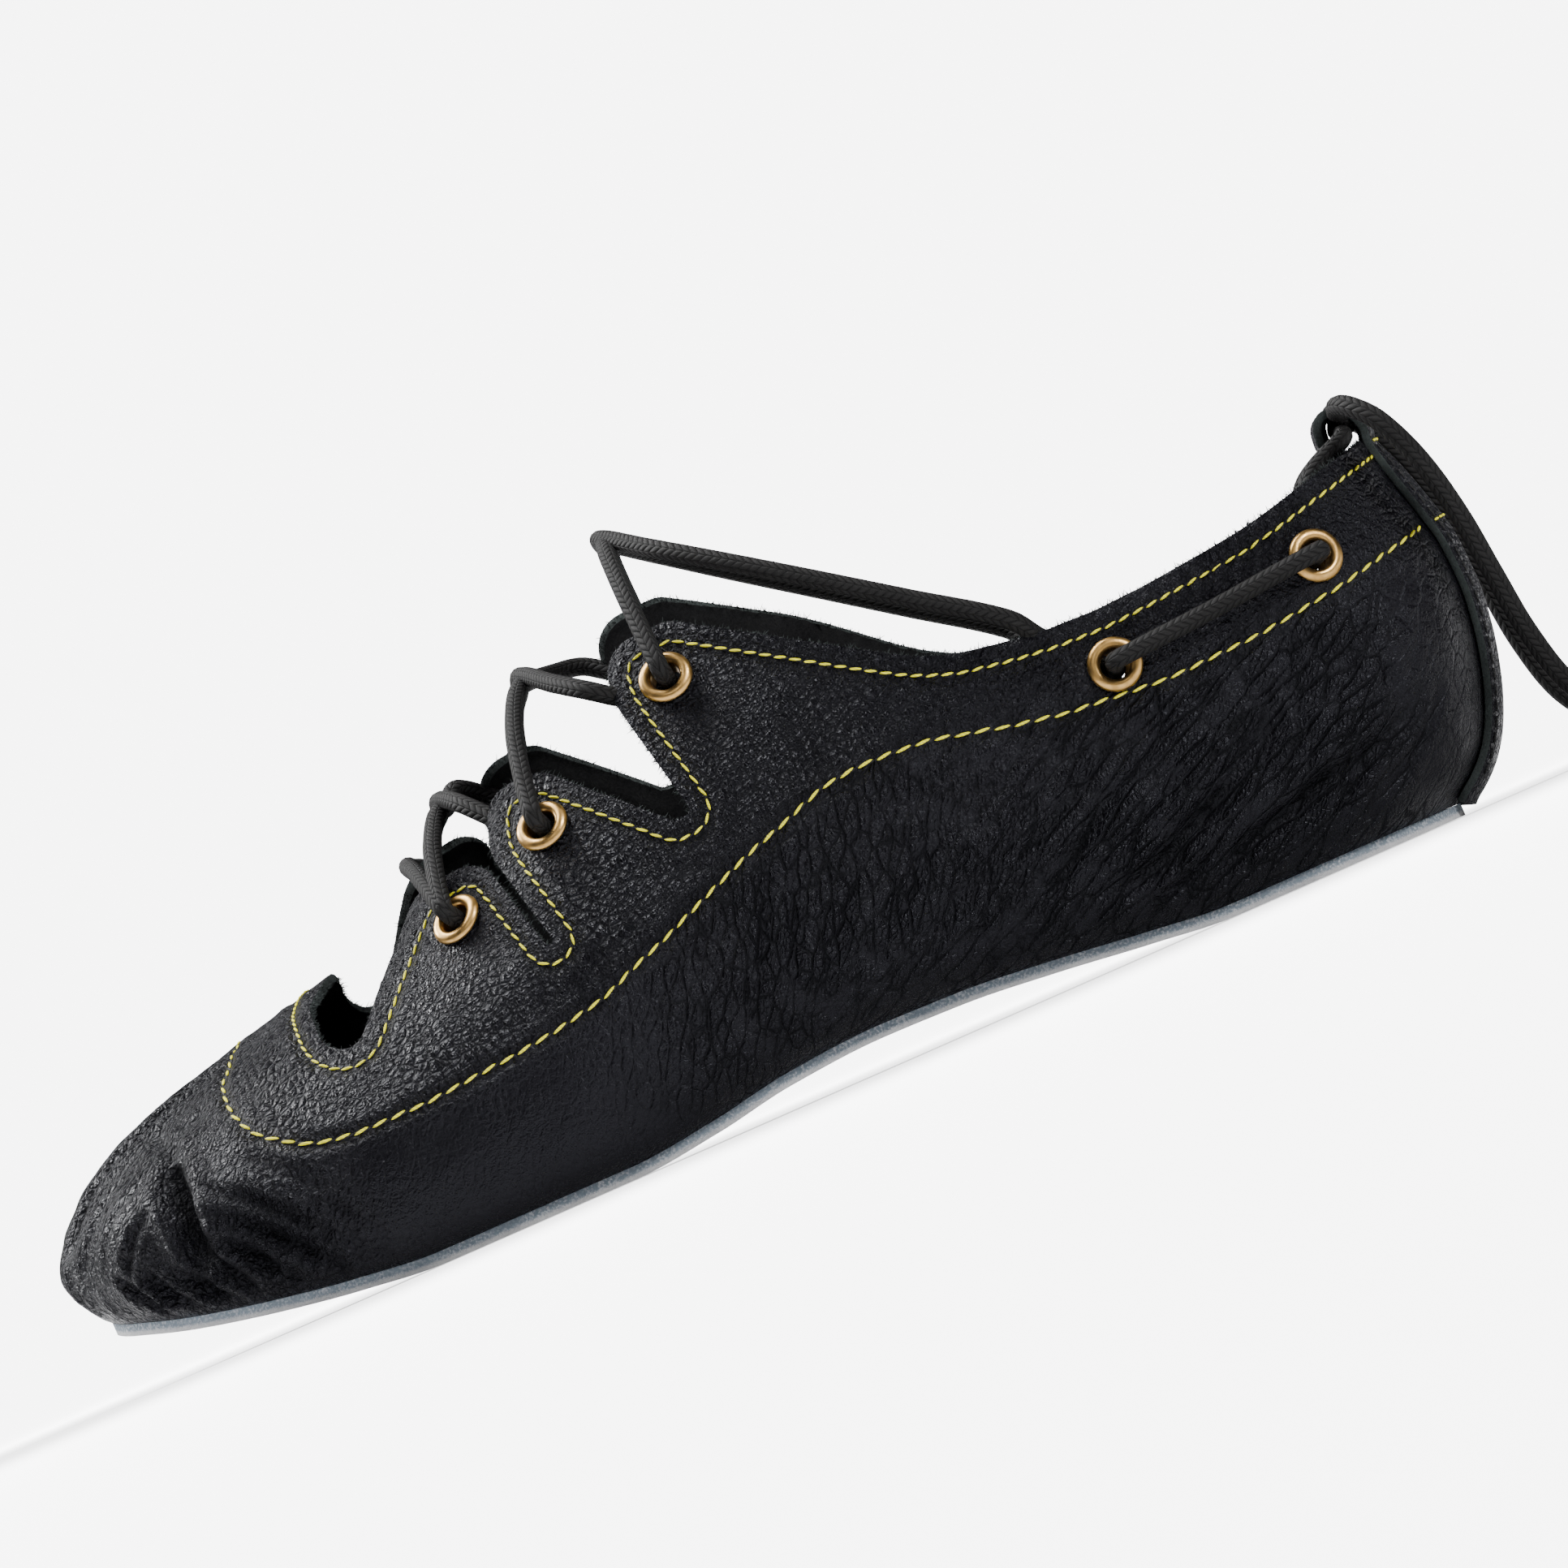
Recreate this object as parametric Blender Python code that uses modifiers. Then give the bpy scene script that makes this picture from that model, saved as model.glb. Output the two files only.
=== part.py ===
"""Left highland dance shoe: a soft laced leather shoe on a thin suede sole.

The toe points along -X, the outer side of the foot faces -Y and the floor is at Z = 0. Sizes are in
millimetres. A place along the shoe is its distance from the toe tip, and place() turns it into metres.
"""

import math
from collections import namedtuple

import bmesh
import bpy
import numpy as np
from mathutils import Vector

MM = 0.001
OUTER = -1  # the little toe's side
INNER = 1  # the big toe's side
SIDES = {"near": OUTER, "far": INNER}

SHOE_LENGTH = 256.0  # toe tip to the back of the heel strip
FORM_LENGTH = 254.2  # toe tip to the back of the upper
CENTRE_Y = -1.35  # middle of the shoe's width
WALL = 1.5  # leather and lining of the upper
SEAT = 0.3  # clearance between pieces that touch

SOLE_THICK = 2.1
SOLE_TOE = 4.6
SOLE_HEEL = 239.5
MARGIN = 7.0  # leather turned in under the foot

INSOLE_THICK = 1.2
INSOLE_TOE = 11.5
INSOLE_HEEL = 233.0
INSOLE_SHARE = 0.9  # of the sole's width
INSOLE_CLEAR = 0.45  # between the insole and the turned-in margin

STRIP_THICK = 1.5
STRIP_WIDTH = 14.5
STRIP_SAG = 25.0  # radius of the heel's back, seen from above
STRIP_CLEAR = 0.45  # between the strip's inner end and the upper

EYELET_HOLE = 2.6
EYELET_BARREL = 3.05
EYELET_RIM = 4.3
EYELET_HEIGHT = 0.95
EYELET_UNDER = 0.35  # the rim's underside above the leather's face
EYELET_CLINCH = 2.2  # depth of the folded inner rim below the leather's face
EYELET_FOLD = 4.0  # radius of the inner rim
EYELET_LIP = 0.5  # depth of the inner rim itself
DRILL = 3.45
DRILL_DEPTH = 10.0

LACE = 3.4
AGLET = 2.1
AGLET_LONG = 20.0
LACE_STEP = 11.0  # between the points of a free end
LACE_END = 476.0  # each free end with its aglet

HEEL_PULL_FROM = 195.0  # behind this the sections lean to the heel's back line
TAB_LEAN = 0.115  # the inner tabs reach higher over the instep than the outer ones
LEAN_FROM_Y = -30.0  # where the outer tabs lie
LEAN_STARTS = (62.0, 84.0)
LEAN_ENDS = (150.0, 185.0)
RIDGE_CLEAR = 0.4  # points on the wall stay this far below the ridge
PROBE = 0.2  # step for measuring the wall's direction

# A cross section: place, top of the ridge and its Y, widest outer and inner Y, the height of the widest
# point and how full the section is above it (2 is an ellipse).
Section = namedtuple("Section", "at crest ridge outer inner belly fullness")
SECTIONS = [
    Section(0.0, 22.0, 6.0, -6.0, 6.0, 22.0, 2.0),
    Section(4.0, 29.2, 6.3, 7.0, 18.5, 20.5, 2.0),
    Section(10.0, 34.0, 6.7, 16.5, 26.0, 19.5, 2.0),
    Section(20.0, 39.5, 7.0, 26.0, 33.0, 18.5, 2.0),
    Section(32.0, 43.3, 7.0, 33.0, 37.5, 17.5, 2.0),
    Section(46.0, 47.4, 7.0, 38.0, 40.5, 16.5, 2.0),
    Section(62.0, 50.9, 6.5, 42.0, 42.3, 16.0, 2.0),
    Section(78.0, 59.6, 6.0, 44.0, 42.5, 16.0, 2.0),
    Section(95.0, 71.0, 5.2, 45.0, 40.5, 17.0, 2.0),
    Section(115.0, 84.0, 4.0, 43.0, 36.5, 20.0, 1.9),
    Section(135.0, 99.0, 2.8, 39.5, 33.0, 23.5, 1.7),
    Section(155.0, 113.5, 1.5, 36.5, 31.3, 25.5, 1.55),
    Section(175.0, 120.0, 0.5, 33.8, 30.3, 26.5, 1.5),
    Section(195.0, 122.0, 0.0, 32.0, 30.2, 27.0, 1.5),
    Section(212.0, 122.0, 0.0, 31.0, 30.3, 28.0, 1.5),
    Section(227.0, 122.0, 0.0, 29.3, 29.0, 29.0, 1.5),
    Section(239.0, 122.0, 0.0, 25.0, 25.0, 29.5, 1.5),
    Section(248.0, 122.0, 0.0, 18.0, 18.0, 30.0, 1.5),
    Section(FORM_LENGTH, 122.0, 0.0, 0.0, 0.0, 30.0, 1.5),
]

# The sole's outline, as Y of its outer and inner edge.
Outline = namedtuple("Outline", "at outer inner")
OUTLINE = [
    Outline(SOLE_TOE, -7.0, 7.0),
    Outline(10.0, 10.0, 21.0),
    Outline(20.0, 21.0, 29.0),
    Outline(32.0, 28.5, 33.5),
    Outline(46.0, 33.5, 36.3),
    Outline(62.0, 37.5, 37.5),
    Outline(78.0, 39.5, 37.8),
    Outline(95.0, 39.8, 34.5),
    Outline(115.0, 36.5, 28.0),
    Outline(135.0, 31.5, 23.0),
    Outline(155.0, 28.5, 21.5),
    Outline(175.0, 27.0, 22.5),
    Outline(195.0, 26.5, 24.5),
    Outline(212.0, 25.5, 25.0),
    Outline(226.0, 21.0, 21.0),
    Outline(234.0, 13.5, 13.5),
    Outline(SOLE_HEEL, 0.0, 0.0),
]

# The underside's height above the floor along both edges: toe spring, flat forefoot, arch, flat heel.
Tread = namedtuple("Tread", "at outer inner")
TREADS = [
    Tread(0.0, 19.6, 19.6),
    Tread(1.9, 13.9, 13.9),
    Tread(4.6, 10.7, 10.7),
    Tread(10.5, 8.5, 8.5),
    Tread(17.0, 6.6, 6.6),
    Tread(24.0, 5.0, 5.0),
    Tread(34.0, 3.1, 3.1),
    Tread(46.0, 1.3, 1.3),
    Tread(60.0, 0.0, 0.0),
    Tread(93.0, 0.0, 0.0),
    Tread(108.0, 1.5, 2.2),
    Tread(122.0, 3.8, 6.0),
    Tread(138.0, 4.9, 8.4),
    Tread(152.0, 4.6, 8.0),
    Tread(168.0, 3.2, 5.4),
    Tread(184.0, 1.3, 2.0),
    Tread(198.0, 0.0, 0.0),
    Tread(FORM_LENGTH, 0.0, 0.0),
]

# The back line of the heel: height and place.
Back = namedtuple("Back", "height at")
BACKS = [
    Back(2.4, 237.0),
    Back(3.6, 240.0),
    Back(5.8, 243.6),
    Back(9.2, 246.8),
    Back(15.0, 249.9),
    Back(21.8, 252.1),
    Back(28.7, 253.5),
    Back(35.7, 254.1),
    Back(41.0, 253.9),
    Back(47.0, 252.7),
    Back(54.0, 250.9),
    Back(61.0, 249.4),
    Back(80.0, 245.5),
    Back(122.0, 238.0),
]

# The cut edge of throat, tabs and collar, from the vamp's point to the heel: corners and their radii.
Corner = namedtuple("Corner", "at height radius")
EDGE = [
    Corner(61.2, 50.8, 0.0),
    Corner(55.2, 47.5, 4.0),
    Corner(55.2, 31.9, 4.0),
    Corner(78.5, 56.7, 9.0),
    Corner(90.4, 57.6, 5.0),
    Corner(95.0, 40.0, 0.5),
    Corner(96.4, 40.0, 0.5),
    Corner(92.2, 57.5, 9.0),
    Corner(95.4, 66.7, 6.0),
    Corner(104.8, 66.7, 5.0),
    Corner(121.6, 50.2, 1.5),
    Corner(124.9, 50.2, 1.2),
    Corner(120.4, 71.0, 12.0),
    Corner(121.4, 80.4, 6.0),
    Corner(133.4, 80.6, 5.0),
    Corner(169.5, 57.4, 34.0),
    Corner(193.0, 53.3, 90.0),
    Corner(224.0, 56.4, 90.0),
    Corner(252.0, 63.4, 0.0),
]

# On the inner side the throat starts further back.
INNER_FRONT = [
    Corner(61.2, 50.8, 0.0),
    Corner(60.2, 48.4, 2.5),
    Corner(60.2, 37.2, 4.0),
]
EDGES = {"near": EDGE, "far": INNER_FRONT + EDGE[3:]}

# Eyelets of the outer side, from the toe to the heel.
Eyelet = namedtuple("Eyelet", "at height")
EYELETS = [
    Eyelet(83.3, 49.6),
    Eyelet(101.9, 57.8),
    Eyelet(129.6, 71.9),
    Eyelet(196.5, 44.8),
    Eyelet(233.1, 47.9),
]

# The lace over the instep: the eyelet that both strands leave, where they cross on the ridge, and where each
# goes in on the other side.
Crossing = namedtuple("Crossing", "eyelet ridge_at end_at end_height shares")
CROSSINGS = [
    Crossing(0, 89.0, 91.8, 65.6, (1.0,)),
    Crossing(1, 109.3, 118.2, 73.6, (0.5, 1.0)),
    Crossing(2, 130.3, 183.6, 58.0, (0.12, 0.3, 0.5, 0.75, 1.0)),
]
BAR_RIDGE = 79.4  # where the bar between the first eyelets passes over the ridge
RIDGE_LIFT = 2.0
CROSS_OVER = 0.8  # the strand from the inner side lies on top
CLIMB = {0.3: 3.3, 0.55: 2.7, 0.8: 2.3}  # lift of a strand at shares of its way up to the ridge
CLIMB_ROUND = 0.85  # how soon a strand turns over the instep
CROWN_LIFT = 3.5  # where a strand enters an eyelet
RUN = {0.14: 3.4, 0.5: 2.2, 0.86: 3.4}  # lift of the lace along the collar at shares of its way
Stand = namedtuple("Stand", "at height lift")
RISER = [Stand(233.1, 47.9, -5.2), Stand(236.0, 54.0, -5.0), Stand(240.5, 61.0, -4.6)]
RISER_MOUTH = (245.6, 9.8, 64.0)

# Heights of the back strip's rows from its low end to the collar, and from the loop down the inside.
STRIP_ROWS = (3.8, 5.4, 7.8, 11.0, 15.5, 21.0, 27.5, 34.5, 41.5, 48.5, 55.5, 61.6)
STRIP_INSIDE_ROWS = (58.5, 54.5, 50.0)

# The path of the back strip's loop above the collar.
Loop = namedtuple("Loop", "at height")
LOOP = [
    Loop(250.3, 64.0),
    Loop(249.5, 66.6),
    Loop(247.6, 68.6),
    Loop(245.2, 68.6),
    Loop(243.3, 66.9),
    Loop(243.0, 64.4),
    Loop(244.3, 62.0),
]

# The free ends hang from the back loop to the floor behind the heel, as place, Y and height.
LACE_REST = LACE / 2 + 0.1
DROPS = {
    "near": [
        (246.3, -8.0, 68.2), (246.5, -13.0, 68.9), (248.0, -18.0, 68.1), (251.4, -21.4, 64.0),
        (254.9, -21.6, 55.6), (257.3, -19.6, 45.0), (258.6, -18.2, 34.0), (260.0, -16.6, 23.0),
        (263.0, -15.0, 12.5), (269.0, -13.4, 5.0), (278.0, -12.2, LACE_REST),
    ],
    "far": [
        (246.3, 8.0, 68.2), (246.6, 13.2, 68.8), (248.3, 18.4, 67.8), (251.7, 21.9, 63.4),
        (255.1, 22.3, 54.8), (257.4, 20.8, 44.2), (258.6, 19.4, 33.2), (259.8, 17.8, 22.2),
        (262.6, 16.2, 12.0), (268.4, 14.6, 4.8), (277.4, 13.2, LACE_REST),
    ],
}
# There each lies in legs, to and fro, that end at these places.
LEG_ENDS = (284.0, 356.0)
LEGS = 4
LEG_GAP = 16.0
LEG_SWAY = 1.2
LAST_LEG_MORE = 24.0  # length to spare on the last leg

STATIONS = 50  # faces along the upper
RIDGE_FACES = 8  # faces from ridge to widest point
FLANK_FACES = 4  # faces from widest point to sole
MARGIN_FACES = 1
SOLE_FACES = (28, 6)  # along and across the sole
INSOLE_FACES = (24, 5)
STRIP_FACES = 4  # across the back strip
EYELET_STEPS = 12
ARC_STEP = math.radians(18)
MERGE = 0.00001


def place(at, y, z):
    """A point in the scene from its distance behind the toe tip, its Y and its height."""
    return Vector(((at - SHOE_LENGTH / 2) * MM, (y - CENTRE_Y) * MM, z * MM))


def mixed(a, b, share):
    return a + (b - a) * share


def eased(start, end, value):
    t = min(max((value - start) / (end - start), 0.0), 1.0)
    return t * t * (3 - 2 * t)


def curve_through(knots, values):
    """A smooth curve through the values of a table that never swings past them."""
    knots = np.array(knots, float)
    values = np.array(values, float)
    step = np.diff(knots)
    slope = np.diff(values) / step
    tangent = np.concatenate([[slope[0]], np.zeros(len(slope) - 1), [slope[-1]]])
    for i in range(1, len(slope)):
        if slope[i - 1] * slope[i] > 0:
            before = 2 * step[i] + step[i - 1]
            after = step[i] + 2 * step[i - 1]
            tangent[i] = (before + after) / (before / slope[i - 1] + after / slope[i])

    def value(knot):
        knot = min(max(knot, knots[0]), knots[-1])
        i = min(max(int(np.searchsorted(knots, knot)) - 1, 0), len(step) - 1)
        t = (knot - knots[i]) / step[i]
        rise = t * t * (3 - 2 * t)
        bow = step[i] * (t * (1 - t) ** 2 * tangent[i] - t * t * (1 - t) * tangent[i + 1])
        return float(values[i] * (1 - rise) + values[i + 1] * rise + bow)

    return value


def rounded(at, start, end):
    """The place as an angle from 0 to pi, so that a curve over it closes round at both ends."""
    share = min(max((at - start) / (end - start), 0.0), 1.0)
    return math.acos(1 - 2 * share)


def table_curves(rows, start, end):
    """A curve for each column of a table, by the column's name."""
    knots = [rounded(row.at, start, end) for row in rows]
    return {name: curve_through(knots, [getattr(row, name) for row in rows]) for name in rows[0]._fields[1:]}


FORM = table_curves(SECTIONS, 0, FORM_LENGTH)
TREAD = table_curves(TREADS, 0, FORM_LENGTH)
SOLE = table_curves(OUTLINE, SOLE_TOE, SOLE_HEEL)
BACK = curve_through([row.height for row in BACKS], [row.at for row in BACKS])


def form_at(section):
    angle = rounded(section, 0, FORM_LENGTH)
    return Section(section, *[FORM[name](angle) for name in Section._fields[1:]])


def widest(side, form):
    return form.inner if side == INNER else -form.outer


def sole_edge(side, at):
    """Y of the sole's edge."""
    angle = rounded(at, SOLE_TOE, SOLE_HEEL)
    return SOLE["inner"](angle) if side == INNER else -SOLE["outer"](angle)


def sole_top(at, y):
    """Height of the sole's upper face, which leans with the arch."""
    angle = rounded(at, 0, FORM_LENGTH)
    outer_edge = sole_edge(OUTER, at)
    width = max(sole_edge(INNER, at) - outer_edge, 0.1)
    across = min(max((y - outer_edge) / width, 0.0), 1.0)
    return mixed(TREAD["outer"](angle), TREAD["inner"](angle), across) + SOLE_THICK


def heel_pulled(section, z):
    """The place of a section's point once the section has bent to the heel's back line."""
    pull = max((section - HEEL_PULL_FROM) / (FORM_LENGTH - HEEL_PULL_FROM), 0.0) ** 2
    return section + (BACK(z) - FORM_LENGTH) * pull


def solved(low, high, is_below):
    """The value between low and high where is_below turns from true to false."""
    for _ in range(30):
        middle = (low + high) / 2
        if is_below(middle):
            low = middle
        else:
            high = middle
    return (low + high) / 2


def section_of(at, z):
    """The section whose point at height z lies at this place."""
    if at <= HEEL_PULL_FROM:
        return at
    return solved(HEEL_PULL_FROM, FORM_LENGTH, lambda section: heel_pulled(section, z) < at)


def sole_line(side, section):
    """The section's point on the sole's edge: place, Y and height of the leather's outer face."""
    at = heel_pulled(section, BACKS[0].height)
    y = sole_edge(side, at)
    return at, y, sole_top(at, y) + SEAT


def form_point(side, section, turn):
    """A point of the upper's outer face. turn is 0 on the ridge, 1 at the widest, 2 on the sole's edge and
    3 at the end of the turned-in margin."""
    form = form_at(section)
    wide = widest(side, form)
    edge_at, edge_y, edge_z = sole_line(side, section)
    if turn <= 1:
        power = 2 / form.fullness
        y = mixed(form.ridge, wide, math.sin(turn * math.pi / 2) ** power)
        z = mixed(form.belly, form.crest, max(math.cos(turn * math.pi / 2), 0.0) ** power)
    elif turn <= 2:
        angle = (turn - 1) * math.pi / 2
        y = mixed(edge_y, wide, max(math.cos(angle), 0.0))
        z = mixed(form.belly, edge_z, math.sin(angle))
    else:
        middle = (edge_y + sole_edge(-side, edge_at)) / 2
        y = edge_y - side * min(MARGIN * (turn - 2), abs(edge_y - middle))
        return edge_at, y, sole_top(edge_at, y) + SEAT
    return heel_pulled(section, z), y, z


def section_y(side, section, z):
    """Y of the upper's outer face on a section, at a height."""
    form = form_at(section)
    wide = widest(side, form)
    if z >= form.belly:
        up = min((z - form.belly) / max(form.crest - form.belly, 0.1), 1.0)
        return mixed(form.ridge, wide, (1 - up**form.fullness) ** (1 / form.fullness))
    _, edge_y, edge_z = sole_line(side, section)
    down = min((form.belly - z) / max(form.belly - edge_z, 0.1), 1.0)
    return mixed(edge_y, wide, math.sqrt(1 - down * down))


def beyond(side, point):
    """How far outside the upper a point is: 0 on its outer face, and more outside."""
    at, y, z = point
    form = form_at(section_of(at, z))
    wide = widest(side, form)
    if z >= form.belly:
        out = max(side * (y - form.ridge), 0.0) / (side * (wide - form.ridge))
        up = (z - form.belly) / (form.crest - form.belly)
        return out**form.fullness + up**form.fullness - 1
    _, edge_y, edge_z = sole_line(side, form.at)
    out = max(side * (y - edge_y), 0.0) / (side * (wide - edge_y))
    down = (form.belly - z) / (form.belly - edge_z)
    return out**2 + down**2 - 1


def wall_normal(side, point):
    steps = [Vector((PROBE, 0, 0)), Vector((0, PROBE, 0)), Vector((0, 0, PROBE))]
    return Vector([beyond(side, point + step) - beyond(side, point - step) for step in steps]).normalized()


def on_wall(side, at, z, lift=0.0):
    """A point on the upper's outer face, lifted off it."""
    z = min(z, form_at(section_of(at, z)).crest - RIDGE_CLEAR)
    point = Vector((at, section_y(side, section_of(at, z), z), z))
    return point + lift * wall_normal(side, point)


def on_ridge(at, lift):
    form = form_at(at)
    slope = (form_at(at + 1).crest - form_at(at - 1).crest) / 2
    return Vector((at, form.ridge, form.crest)) + lift * Vector((-slope, 0, 1)).normalized()


def tab_lean(at):
    return TAB_LEAN * eased(*LEAN_STARTS, at) * (1 - eased(*LEAN_ENDS, at))


def side_height(side, at, z):
    """The height on either side of a point that is given on the outer side."""
    if side == OUTER:
        return z
    height = z
    for _ in range(3):
        height = z + tab_lean(at) * (section_y(INNER, section_of(at, height), height) - LEAN_FROM_Y)
    return height


def heel_point(y, z, lift):
    """A point on the back of the heel, lifted off the upper's outer face."""

    def back_at(y, z):
        side = INNER if y >= 0 else OUTER
        wider = lambda section: abs(section_y(side, section, z)) > abs(y)
        return heel_pulled(solved(HEEL_PULL_FROM, FORM_LENGTH, wider), z)

    sideways = (back_at(y + PROBE, z) - back_at(y - PROBE, z)) / (2 * PROBE)
    upward = (back_at(y, z + PROBE) - back_at(y, z - PROBE)) / (2 * PROBE)
    return Vector((back_at(y, z), y, z)) + lift * Vector((1, -sideways, -upward)).normalized()


def new_collection(name):
    collection = bpy.data.collections.new(name)
    bpy.context.scene.collection.children.link(collection)
    return collection


def new_material(name, colour, roughness, metallic=0.0):
    material = bpy.data.materials.new(name)
    material.use_nodes = True
    shader = material.node_tree.nodes["Principled BSDF"]
    shader.inputs["Base Color"].default_value = (*colour, 1.0)
    shader.inputs["Roughness"].default_value = roughness
    shader.inputs["Metallic"].default_value = metallic
    return material


def new_object(name, bm, collection, material=None):
    mesh = bpy.data.meshes.new(name)
    bm.to_mesh(mesh)
    bm.free()
    obj = bpy.data.objects.new(name, mesh)
    collection.objects.link(obj)
    if material:
        mesh.materials.append(material)
    return obj


def sheet(along, across, point):
    """A grid of faces laid over point(i, j), with the corners that fall together merged."""
    bm = bmesh.new()
    bmesh.ops.create_grid(bm, x_segments=along, y_segments=across, size=1)
    for vert in bm.verts:
        i = round((vert.co.x + 1) / 2 * along)
        j = round((vert.co.y + 1) / 2 * across)
        vert.co = place(*point(i, j))
    bmesh.ops.remove_doubles(bm, verts=bm.verts, dist=MERGE)
    bmesh.ops.dissolve_degenerate(bm, edges=bm.edges, dist=MERGE)
    bmesh.ops.recalc_face_normals(bm, faces=bm.faces)
    return bm


def thicken(obj, thickness, offset):
    solidify = obj.modifiers.new("Thickness", "SOLIDIFY")
    solidify.thickness = thickness * MM
    solidify.offset = offset
    solidify.use_even_offset = True


def cut(obj, cutter, operation="DIFFERENCE"):
    boolean = obj.modifiers.new(operation.title(), "BOOLEAN")
    boolean.operation = operation
    boolean.solver = "EXACT"
    boolean.object = cutter


def as_cutter(obj):
    obj.hide_render = True
    obj.display_type = "WIRE"
    return obj


def face_towards(bm, direction):
    """Turns a sheet's faces over if the one that lies furthest that way looks the other way."""
    furthest = max(bm.faces, key=lambda face: face.calc_center_median().dot(direction))
    if furthest.normal.dot(direction) < 0:
        bmesh.ops.reverse_faces(bm, faces=bm.faces)


def filleted(corners):
    """The corners' outline with an arc of each corner's radius, as places and heights."""
    points = []
    for i, corner in enumerate(corners):
        here = Vector((corner.at, corner.height))
        if corner.radius == 0:
            points.append(here)
            continue
        before = (Vector(corners[i - 1][:2]) - here).normalized()
        after = (Vector(corners[i + 1][:2]) - here).normalized()
        half = before.angle(after) / 2
        centre = here + (before + after).normalized() * corner.radius / math.sin(half)
        start = here + before * corner.radius / math.tan(half) - centre
        sweep = start.angle_signed(here + after * corner.radius / math.tan(half) - centre)
        steps = max(2, math.ceil(abs(sweep) / ARC_STEP))
        for k in range(steps + 1):
            angle = -sweep * k / steps
            points.append(centre + Vector((
                start.x * math.cos(angle) - start.y * math.sin(angle),
                start.x * math.sin(angle) + start.y * math.cos(angle),
            )))
    return points


def throat_cutter(name, collection):
    """Everything above one side's cut edge, as a block that leans where the inner tabs reach higher."""
    behind = 275.0
    above = 220.0
    reach = 75.0
    corners = EDGES[name]
    middle = form_at(corners[0].at).ridge
    outline = filleted(corners)
    outline += [Vector((behind, corners[-1].height)), Vector((behind, above)), Vector((corners[0].at, above))]
    bm = bmesh.new()
    face = bm.faces.new([bm.verts.new((p.x, middle, p.y)) for p in outline])
    grown = bmesh.ops.extrude_face_region(bm, geom=[face])["geom"]
    side_verts = [item for item in grown if isinstance(item, bmesh.types.BMVert)]
    bmesh.ops.translate(bm, verts=side_verts, vec=(0, SIDES[name] * reach, 0))
    for vert in bm.verts:
        at, y, z = vert.co
        vert.co = place(at, y, z + tab_lean(at) * (y - LEAN_FROM_Y))
    bmesh.ops.recalc_face_normals(bm, faces=bm.faces)
    return as_cutter(new_object(f"throat_cutter_{name}", bm, collection))


def eyelet_places():
    """Each eyelet's name, middle on the upper's outer face, and outward direction."""
    for number, eyelet in enumerate(EYELETS, 1):
        for name, side in SIDES.items():
            middle = on_wall(side, eyelet.at, side_height(side, eyelet.at, eyelet.height))
            yield f"eyelet_{number}_{name}", middle, wall_normal(side, middle)


def drill_cutter(collection):
    """Ten short rods, one through the leather at each eyelet."""
    bm = bmesh.new()
    for _, middle, outward in eyelet_places():
        turn = outward.to_track_quat("Z", "Y").to_matrix().to_4x4()
        turn.translation = place(*middle)
        bmesh.ops.create_cone(
            bm, cap_ends=True, segments=16, radius1=DRILL * MM, radius2=DRILL * MM, depth=DRILL_DEPTH * MM,
            matrix=turn)
    return as_cutter(new_object("eyelet_drills", bm, collection))


def make_upper(parts, cutters, leather):
    half = RIDGE_FACES + FLANK_FACES + MARGIN_FACES

    def turn_of(step):
        if step <= RIDGE_FACES:
            return step / RIDGE_FACES
        if step <= RIDGE_FACES + FLANK_FACES:
            return 1 + (step - RIDGE_FACES) / FLANK_FACES
        return 2 + (step - RIDGE_FACES - FLANK_FACES) / MARGIN_FACES

    def point(i, j):
        section = FORM_LENGTH / 2 * (1 - math.cos(math.pi * i / STATIONS))
        return form_point(INNER if j >= half else OUTER, section, turn_of(abs(j - half)))

    bm = sheet(STATIONS, 2 * half, point)
    face_towards(bm, Vector((-1, 0, 0)))
    upper = new_object("upper", bm, parts, leather)
    thicken(upper, WALL, -1)
    for name in SIDES:
        cut(upper, throat_cutter(name, cutters))
    cut(upper, drill_cutter(cutters))


def plate(name, parts, material, faces, ends, share, height, thickness, offset):
    """A thin plate of the sole's outline, or a share of it, lying at height(at, y)."""
    along, across = faces

    def point(i, j):
        round_step = (1 - math.cos(math.pi * i / along)) / 2
        sole_at = mixed(SOLE_TOE, SOLE_HEEL, round_step)
        at = mixed(*ends, round_step)
        outer_edge = sole_edge(OUTER, sole_at)
        inner_edge = sole_edge(INNER, sole_at)
        middle = (outer_edge + inner_edge) / 2
        y = middle + (mixed(outer_edge, inner_edge, j / across) - middle) * share
        return at, y, height(at, y)

    bm = sheet(along, across, point)
    face_towards(bm, Vector((0, 0, 1)))
    thicken(new_object(name, bm, parts, material), thickness, offset)


def make_soles(parts, suede, board):
    plate("outsole", parts, suede, SOLE_FACES, (SOLE_TOE, SOLE_HEEL), 1.0, sole_top, SOLE_THICK, -1)
    lies_on = SEAT + WALL + INSOLE_CLEAR
    plate(
        "insole", parts, board, INSOLE_FACES, (INSOLE_TOE, INSOLE_HEEL), INSOLE_SHARE,
        lambda at, y: sole_top(at, y) + lies_on, INSOLE_THICK, 1)


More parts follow.
